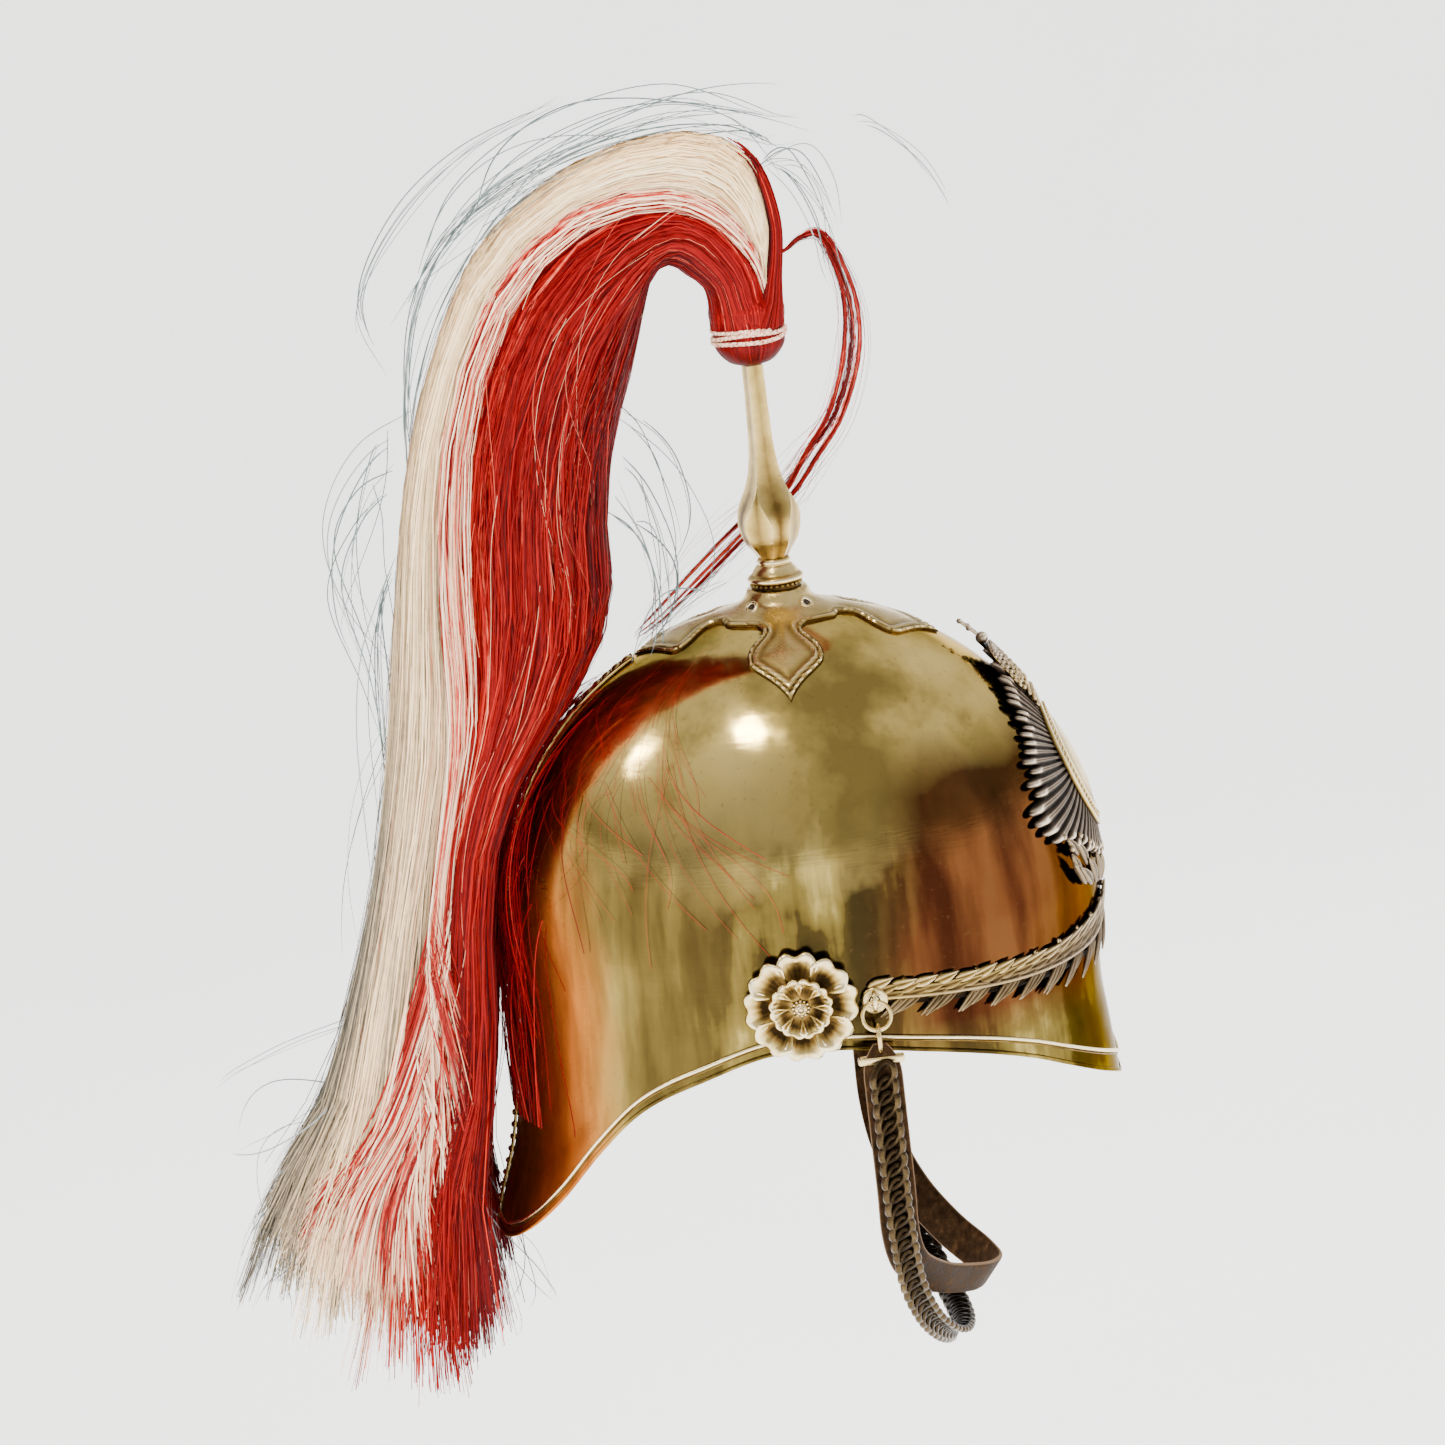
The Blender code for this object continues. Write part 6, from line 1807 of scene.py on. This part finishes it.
def make_rosette(side, label, finish):
    """Two rings of curled petals round a knob."""

    def rose_point(across, up, proud):
        angle = ROSETTE_ANGLE + across / SKULL_HALF_LENGTH
        height = ROSETTE_HEIGHT + up
        lowest = rim_height(angle) + 0.001
        points = lay(angle, np.maximum(height, lowest), proud + ROSETTE_STAND_OFF)
        points[..., 2] += np.minimum(0.0, height - lowest)
        points[..., 0] *= side
        return points

    parts = []
    rows, columns = 16, 17
    v = np.linspace(0.0, 1.0, rows)[:, None]
    u = np.linspace(-1.0, 1.0, columns)[None, :]
    tiers = (
        (8, 0.0065, 0.0232, 0.0, 0.0004, 0.0042, 0.60),
        (8, 0.0030, 0.0128, 0.5, 0.0026, 0.0040, 0.66),
    )
    for count, start, end, offset, floor, rise, broad in tiers:
        for k in range(count):
            centre = 2.0 * math.pi * (k + offset) / count
            notch = np.exp(-((u / 0.20) ** 2)) * v**3
            wave = 0.04 * np.cos(u * math.pi * 2.0 + math.pi) * v
            rounded = 1.0 - 0.20 * np.abs(u) ** 2.4 * v + wave - 0.07 * notch
            reach = start + (end - start) * v * rounded
            widening = 0.55 + 0.45 * np.sin(np.clip(v * 1.1, 0, 1) * math.pi / 2.0)
            spread = 2.0 * math.pi / count * broad * widening
            turn = centre + u * spread
            fallen = 0.55 * np.clip((v - 0.80) / 0.20, 0.0, 1.0) ** 2
            lift = floor + rise * (0.25 + 0.85 * v**1.3 - fallen)
            bowl = (1.0 - np.abs(u) ** 2) * np.sin(math.pi * np.clip(v * 1.15 - 0.10, 0.0, 1.0))
            lift = lift + rise * (0.42 * np.abs(u) ** 2.2 * v - 0.38 * bowl + 0.16 * notch)
            lift = lift + 0.0006 * ((k % 2) * 2 - 1) * (offset == 0.0)
            points = rose_point(reach * np.sin(turn), reach * np.cos(turn), lift)
            rim = np.clip((v - 0.52) / 0.34, 0.0, 1.0) ** 1.2
            bright = 0.30 + 0.62 * rim * (1.0 - 0.45 * notch) + 0.45 * np.abs(u) ** 4 * v
            bright = bright - 0.30 * bowl * (1.0 - rim)
            bright = np.clip(bright + 0.10 * np.cos(u * math.pi * 6.0) * v, 0.0, 1.0)
            faces = grid(rows, columns)
            if side > 0.0:
                faces = turned_over(faces)
            bright = np.broadcast_to(bright, (rows, columns)).ravel()
            parts.append((points.reshape(-1, 3), faces, bright))
    points, faces, raised = join(parts)
    obj = piece(f"rose_{label}", points, faces, finish, (f"rosette_{label}",), {"relief": raised})
    thicken(obj, PETAL_THICKNESS)
    # Painted shade: a disc under the petals, painted darkest, shows as shade between and under them.
    turn = once_round(48)
    reach = np.array([0.0002, 0.004, 0.010, 0.0175, 0.0185])[:, None]
    lift = np.array([0.0002, 0.0002, 0.0002, 0.0002, -0.0010])[:, None]
    disc = rose_point(reach * np.sin(turn), reach * np.cos(turn), np.broadcast_to(lift, (5, 48)))
    faces = grid(5, 48, closed=True)
    piece(f"rose_back_{label}", disc.reshape(-1, 3), faces, finish, (), {"relief": np.zeros(5 * 48)})
    middle = rose_point(np.zeros(1), np.zeros(1), np.array([0.0045]))[0]
    out = unit(middle - rose_point(np.zeros(1), np.zeros(1), np.array([0.0]))[0])
    parts = [beads([middle], [(0.0030, 0.0026)], [out], 20, 10)]
    for count, ring, lift, size in ((12, 0.0031, 0.0042, 0.0007), (6, 0.0016, 0.0066, 0.0006)):
        turn = np.arange(count) * math.pi / (count / 2.0)
        spots = rose_point(ring * np.sin(turn), ring * np.cos(turn), np.full(count, lift))
        parts.append(beads(spots, [(size, size)] * count, [out] * count, 6, 3))
    points, faces, raised = join(parts)
    knob = f"rosette_knob_{label}"
    piece(f"rose_knob_{label}", points, faces, finish, (knob,), {"relief": raised * 0.6 + 0.4})


# Strap and chain from the ring to the middle under the chin, in metres: across, forward and height
STRAP_ROUTE = (
    (0.1075, 0.0200, 0.0034),
    (0.1075, 0.0201, -0.0180),
    (0.1062, 0.0203, -0.0410),
    (0.1020, 0.0205, -0.0620),
    (0.0945, 0.0205, -0.0810),
    (0.0810, 0.0230, -0.0980),
    (0.0600, 0.0310, -0.1130),
    (0.0330, 0.0450, -0.1260),
    (0.0120, 0.0570, -0.1330),
    (0.0000, 0.0600, -0.1345),
)
CHAIN_ROUTE = (
    (0.1130, 0.0200, -0.0055),
    (0.1129, 0.0201, -0.0220),
    (0.1116, 0.0203, -0.0430),
    (0.1073, 0.0205, -0.0640),
    (0.1000, 0.0215, -0.0850),
    (0.0880, 0.0235, -0.1060),
    (0.0700, 0.0290, -0.1270),
    (0.0460, 0.0370, -0.1440),
    (0.0220, 0.0430, -0.1530),
    (0.0000, 0.0450, -0.1555),
)


def loop_route(half, count):
    """Even steps round the chin from the wearer's right to the left."""
    half = np.array(half) * np.array([-1.0, -1.0, 1.0])
    whole = np.concatenate([half, half[-2::-1] * np.array([-1.0, 1.0, 1.0])])
    run = run_along(whole)
    path = curve_through(np.column_stack([run, whole]))
    fine = np.linspace(0.0, run[-1], 2000)
    points = np.stack([path(fine, k) for k in (1, 2, 3)], axis=-1)
    run = run_along(points)
    even = np.linspace(0.0, run[-1], count)
    return np.stack([np.interp(even, run, points[:, k]) for k in range(3)], axis=-1), run[-1]


def make_strap(finish):
    """A flat strap with rounded edges and rounded ends."""
    count = 150
    sides = 24
    route, _ = loop_route(STRAP_ROUTE, count)
    ahead = unit(np.gradient(route, axis=0))
    side = route[:, 0] / abs(route[0, 0])
    inward = np.clip(1.0 - np.abs(side), 0.0, 1.0)
    face = unit(np.stack([side, -0.8 * inward, -0.6 * np.sqrt(inward)], axis=-1))
    face = unit(face - ahead * (face * ahead).sum(-1, keepdims=True))
    wide = np.cross(ahead, face)
    turn = once_round(sides)
    breadth = np.sign(np.cos(turn)) * np.abs(np.cos(turn)) ** 0.22
    depth = np.sign(np.sin(turn)) * np.abs(np.sin(turn)) ** 0.6
    end = np.minimum(np.arange(count), np.arange(count)[::-1]) / 5.0
    half = STRAP_HALF_WIDTH * np.sqrt(np.clip(1.0 - np.clip(1.0 - end, 0.0, 1.0) ** 2, 0.12, 1.0))
    ripple = 0.0004 * np.sin(np.arange(count) * 0.35)
    points = (
        route[:, None]
        + wide[:, None] * (half[:, None] * breadth)[..., None]
        + face[:, None] * (STRAP_HALF_THICKNESS * depth + ripple[:, None] * 0.3)[..., None]
    )
    faces = grid(count, sides, closed=True) + end_caps(count, sides)
    edge = np.tile(np.clip((np.abs(breadth) - 0.93) * 20.0, 0.0, 1.0), count)
    piece("leather_strap", points.reshape(-1, 3), faces, finish, ("chin_strap",), {"relief": edge}, 50)


def make_chain(finish):
    """A curb chain: twisted oval links that lie flat in one another."""
    length = loop_route(CHAIN_ROUTE, 2)[1]
    links = round(length / LINK_PITCH)
    route, _ = loop_route(CHAIN_ROUTE, links * 2 + 1)
    centres = route[1::2]
    ahead = unit(route[2::2] - route[:-2:2])
    parts = []
    t = once_round(24)
    for centre, along in zip(centres, ahead):
        side = centre[0] / CHAIN_ROUTE[0][0]
        inward = max(0.0, 1.0 - abs(side))
        face = np.array([side, -0.5 * inward, -0.9 * math.sqrt(inward)])
        face = unit(face - along * np.dot(face, along))
        wide = np.cross(along, face)
        run = along * math.cos(LINK_LEAN) + wide * math.sin(LINK_LEAN)
        cross = wide * math.cos(LINK_LEAN) - along * math.sin(LINK_LEAN)
        line = (
            centre
            + run * (0.0060 * np.cos(t))[:, None]
            + cross * (0.0036 * np.sin(t))[:, None]
            + face * (0.0014 * np.sin(2.0 * t))[:, None]
        )
        points, faces = sweep(line, round_section(LINK_WIRE, 8), closed=True)
        raised = np.clip(((points - centre) @ face) / 0.0028 * 0.5 + 0.40, 0.0, 1.0)
        parts.append((points, faces, raised))
    points, faces, raised = join(parts)
    piece("curb_links", points, faces, finish, ("chin_chain",), {"relief": raised})


def solid_box(name):
    """A solid's lowest and highest corner."""
    low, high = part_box(name)
    return np.array(low), np.array(high)


def make_suspension(side, label, finish):
    """Hook, two linked rings, and the keeper that holds the strap."""
    low, high = solid_box(f"chain_hook_{label}")
    middle = (low + high) / 2.0
    inner = high[0] if side < 0 else low[0]
    turn = np.linspace(-math.pi / 2.0, math.pi / 2.0, 24)
    across = inner + side * (0.0040 * np.cos(turn) - 0.0004)
    up = middle[2] + 0.0037 * np.sin(turn)
    route = np.stack([across, np.full(len(turn), middle[1]), up], axis=-1)
    tail = route[-1] + np.array([-side * 0.0003, 0.0, 0.0])
    parts = [(*sweep(np.vstack([route, tail]), round_section(0.0010, 10)), 0.85)]
    foot = np.array([inner - side * 0.0002, middle[1], middle[2]])
    parts.append(beads([foot], [(0.0056, 0.0009)], [(side * 1.0, 0.0, 0.0)], 24, 6))
    points, faces, raised = join(parts)
    piece(f"hook_{label}", points, faces, finish, (f"chain_hook_{label}",), {"relief": raised})
    for kind in ("upper", "lower"):
        low, high = solid_box(f"{kind}_ring_{label}")
        centre = (low + high) / 2.0
        size = high - low
        if kind == "lower":
            axis = np.array([0.0, 1.0, 0.0])
            radius = (size[0] + size[2]) / 4.0 - RING_WIRE
        else:
            lean = math.atan2(size[0] - 2.0 * RING_WIRE, size[2] - 2.0 * RING_WIRE)
            axis = np.array([-side * math.cos(lean), 0.0, -math.sin(lean)])
            radius = size[1] / 2.0 - RING_WIRE
        points, faces = torus(centre, axis, radius, RING_WIRE, 48, 12)
        raised = np.full(len(points), 0.7)
        piece(f"{kind}_link_{label}", points, faces, finish, (f"{kind}_ring_{label}",), {"relief": raised})
    keeper = f"strap_keeper_{label}"
    low, high = solid_box(keeper)
    centre = (low + high) / 2.0
    half = (high - low) / 2.0 - np.array([KEEPER_INSET, KEEPER_INSET, 0.0])
    turn = once_round(48)
    x = np.sign(np.cos(turn)) * np.abs(np.cos(turn)) ** 0.25 * half[0]
    y = np.sign(np.sin(turn)) * np.abs(np.sin(turn)) ** 0.25 * half[1]
    route = centre + np.stack([x, y, np.zeros(48)], axis=-1)
    section = round_section(1.0, 12) * np.array([0.00055, 0.0015])
    points, faces = sweep(route, section, closed=True)
    piece(f"keeper_{label}", points, faces, finish, (keeper,), {"relief": np.full(len(points), 0.8)})


def make_camera():
    """The photograph's view: the wearer's right side, a little from above."""
    ahead = Vector((math.cos(CAMERA_RISE), 0.0, -math.sin(CAMERA_RISE)))
    flat = Vector((0.0, -1.0, 0.0))
    top = Vector((math.sin(CAMERA_RISE), 0.0, math.cos(CAMERA_RISE)))
    across = flat * math.cos(CAMERA_ROLL) - top * math.sin(CAMERA_ROLL)
    up = top * math.cos(CAMERA_ROLL) + flat * math.sin(CAMERA_ROLL)
    camera = bpy.data.cameras.new("side_view")
    camera.sensor_fit = "HORIZONTAL"
    camera.angle = 2.0 * math.atan(HALF_FRAME / (CAMERA_DISTANCE / PIXEL))
    camera.clip_start = 0.1
    camera.clip_end = 30.0
    obj = placed("side_view", camera)
    turn = Matrix((across, up, -ahead)).transposed().to_4x4()
    obj.matrix_world = Matrix.Translation(CAMERA_PLACE) @ turn
    bpy.context.scene.camera = obj


def make_lamp(name, place, size, power, colour, mirrored):
    """A round lamp aimed at the helmet. A large one that isn't mirrored lights without showing in the metal."""
    lamp = bpy.data.lights.new(name, "AREA")
    lamp.shape = "DISK"
    lamp.size = size
    lamp.energy = power
    lamp.color = colour
    obj = placed(name, lamp)
    aim = (Vector(LAMP_TARGET) - Vector(place)).to_track_quat("-Z", "Y").to_matrix()
    obj.matrix_world = Matrix.Translation(place) @ aim.to_4x4()
    obj.visible_glossy = mirrored


def make_stage():
    """A pale floor that curves up into a low backdrop all round."""
    constants = {"Specular IOR Level": 0.1, "Emission Color": (1.0, 1.0, 1.0, 1.0), "Emission Strength": 0.55}
    made = Finish("studio_floor", None, constants)
    mottle = made.cloud(3.0, 3.0)
    made.feed("Base Color", made.ramp(mottle, ((0.2, (0.88, 0.88, 0.88)), (0.8, (0.92, 0.92, 0.92)))))
    made.feed("Roughness", mottle * 0.1 + 0.85)
    height = made.node("ShaderNodeSeparateXYZ", {}, {0: made.place()}, 2)
    made.feed("Alpha", made.band(height, *BACKDROP_FADE))
    profile = [(0.01, 0.0), (FLOOR_RADIUS, 0.0)]
    for turn in np.linspace(0.1, math.pi / 2.0, 16):
        rise = BACKDROP_CURVE - BACKDROP_CURVE * math.cos(turn)
        profile.append((FLOOR_RADIUS + BACKDROP_CURVE * math.sin(turn), rise))
    profile.append((FLOOR_RADIUS + BACKDROP_CURVE, 2.0))
    points, faces = turned([(radius, rise - FLOOR_DROP) for radius, rise in profile], 96)
    mesh = bpy.data.meshes.new("studio_floor")
    mesh.from_pydata(points.tolist(), [], faces)
    mesh.materials.append(made.material)
    mesh.shade_smooth()
    placed("studio_floor", mesh)
    world = bpy.data.worlds.new("studio")
    world.use_nodes = True
    sky = world.node_tree.nodes["Background"].inputs
    sky["Color"].default_value = (1.0, 0.98, 0.95, 1.0)
    sky["Strength"].default_value = 0.85
    bpy.context.scene.world = world
    make_lamp("key", (-1.9, -0.7, 2.3), 1.4, 150.0, (1.0, 0.97, 0.92), False)
    make_lamp("top", (0.3, 0.3, 2.9), 1.6, 90.0, (1.0, 0.98, 0.95), False)
    make_lamp("fill", (-1.6, 2.0, 0.9), 1.2, 45.0, (1.0, 0.98, 0.96), False)
    make_lamp("rear", (2.1, -0.5, 1.8), 1.2, 70.0, (1.0, 0.98, 0.96), False)
    make_lamp("upper_glow", (-0.92, 0.45, 2.11), 0.34, 12.0, (1.0, 0.95, 0.85), True)
    make_lamp("rear_glow", (-0.16, 1.66, 1.64), 0.30, 8.0, (1.0, 0.95, 0.85), True)


def dress():
    """Makes the finishes, the stage and every piece, in this order."""
    shell = shell_brass()
    gilt = mount_gilt()
    bronze = plate_bronze()
    white = white_hair()
    red = red_hair()
    mixed = mixed_hair()
    make_camera()
    make_stage()
    make_shell(shell)
    make_rim_wire(gilt)
    make_back_strip(gilt)
    make_crown_plate(gilt, vent_black())
    make_collar(gilt)
    make_spike(gilt)
    make_plume_head(red, binding_cord())
    plume_bed("red_bed", "red", red)
    plume_bed("white_bed", "white", white)
    grow_plume("red_strands", "red", 3600, 80, 3, red_tones, red, HAIR_WIDTH, None, ("plume_red",))
    grow_plume("white_strands", "white", 3600, 90, 4, white_tones, white, HAIR_WIDTH, None, ("plume_white",))
    grow_plume("seam_strands", "seam", 1500, 60, 6, mixed_tones, mixed, SEAM_HAIR_WIDTH)
    grow_plume("cover_strands", "cover", 420, 24, 7, red_tones, red, HAIR_WIDTH, 1.75)
    grow_fan(mixed)
    cross_hairs(mixed)
    draped_hairs(red)
    make_loose_lock(red)
    make_stray_hairs(stray_hair())
    make_front_rays(bronze)
    make_front_boss(gilt)
    make_front_crown(bronze)
    make_sprigs(bronze)
    make_strap(strap_leather())
    make_chain(chain_bronze())
    for label, side in (("right", -1.0), ("left", 1.0)):
        make_spray(-side, f"spray_{label}", bronze)
        make_rosette(-side, label, gilt)
        make_suspension(side, label, gilt)


dress()
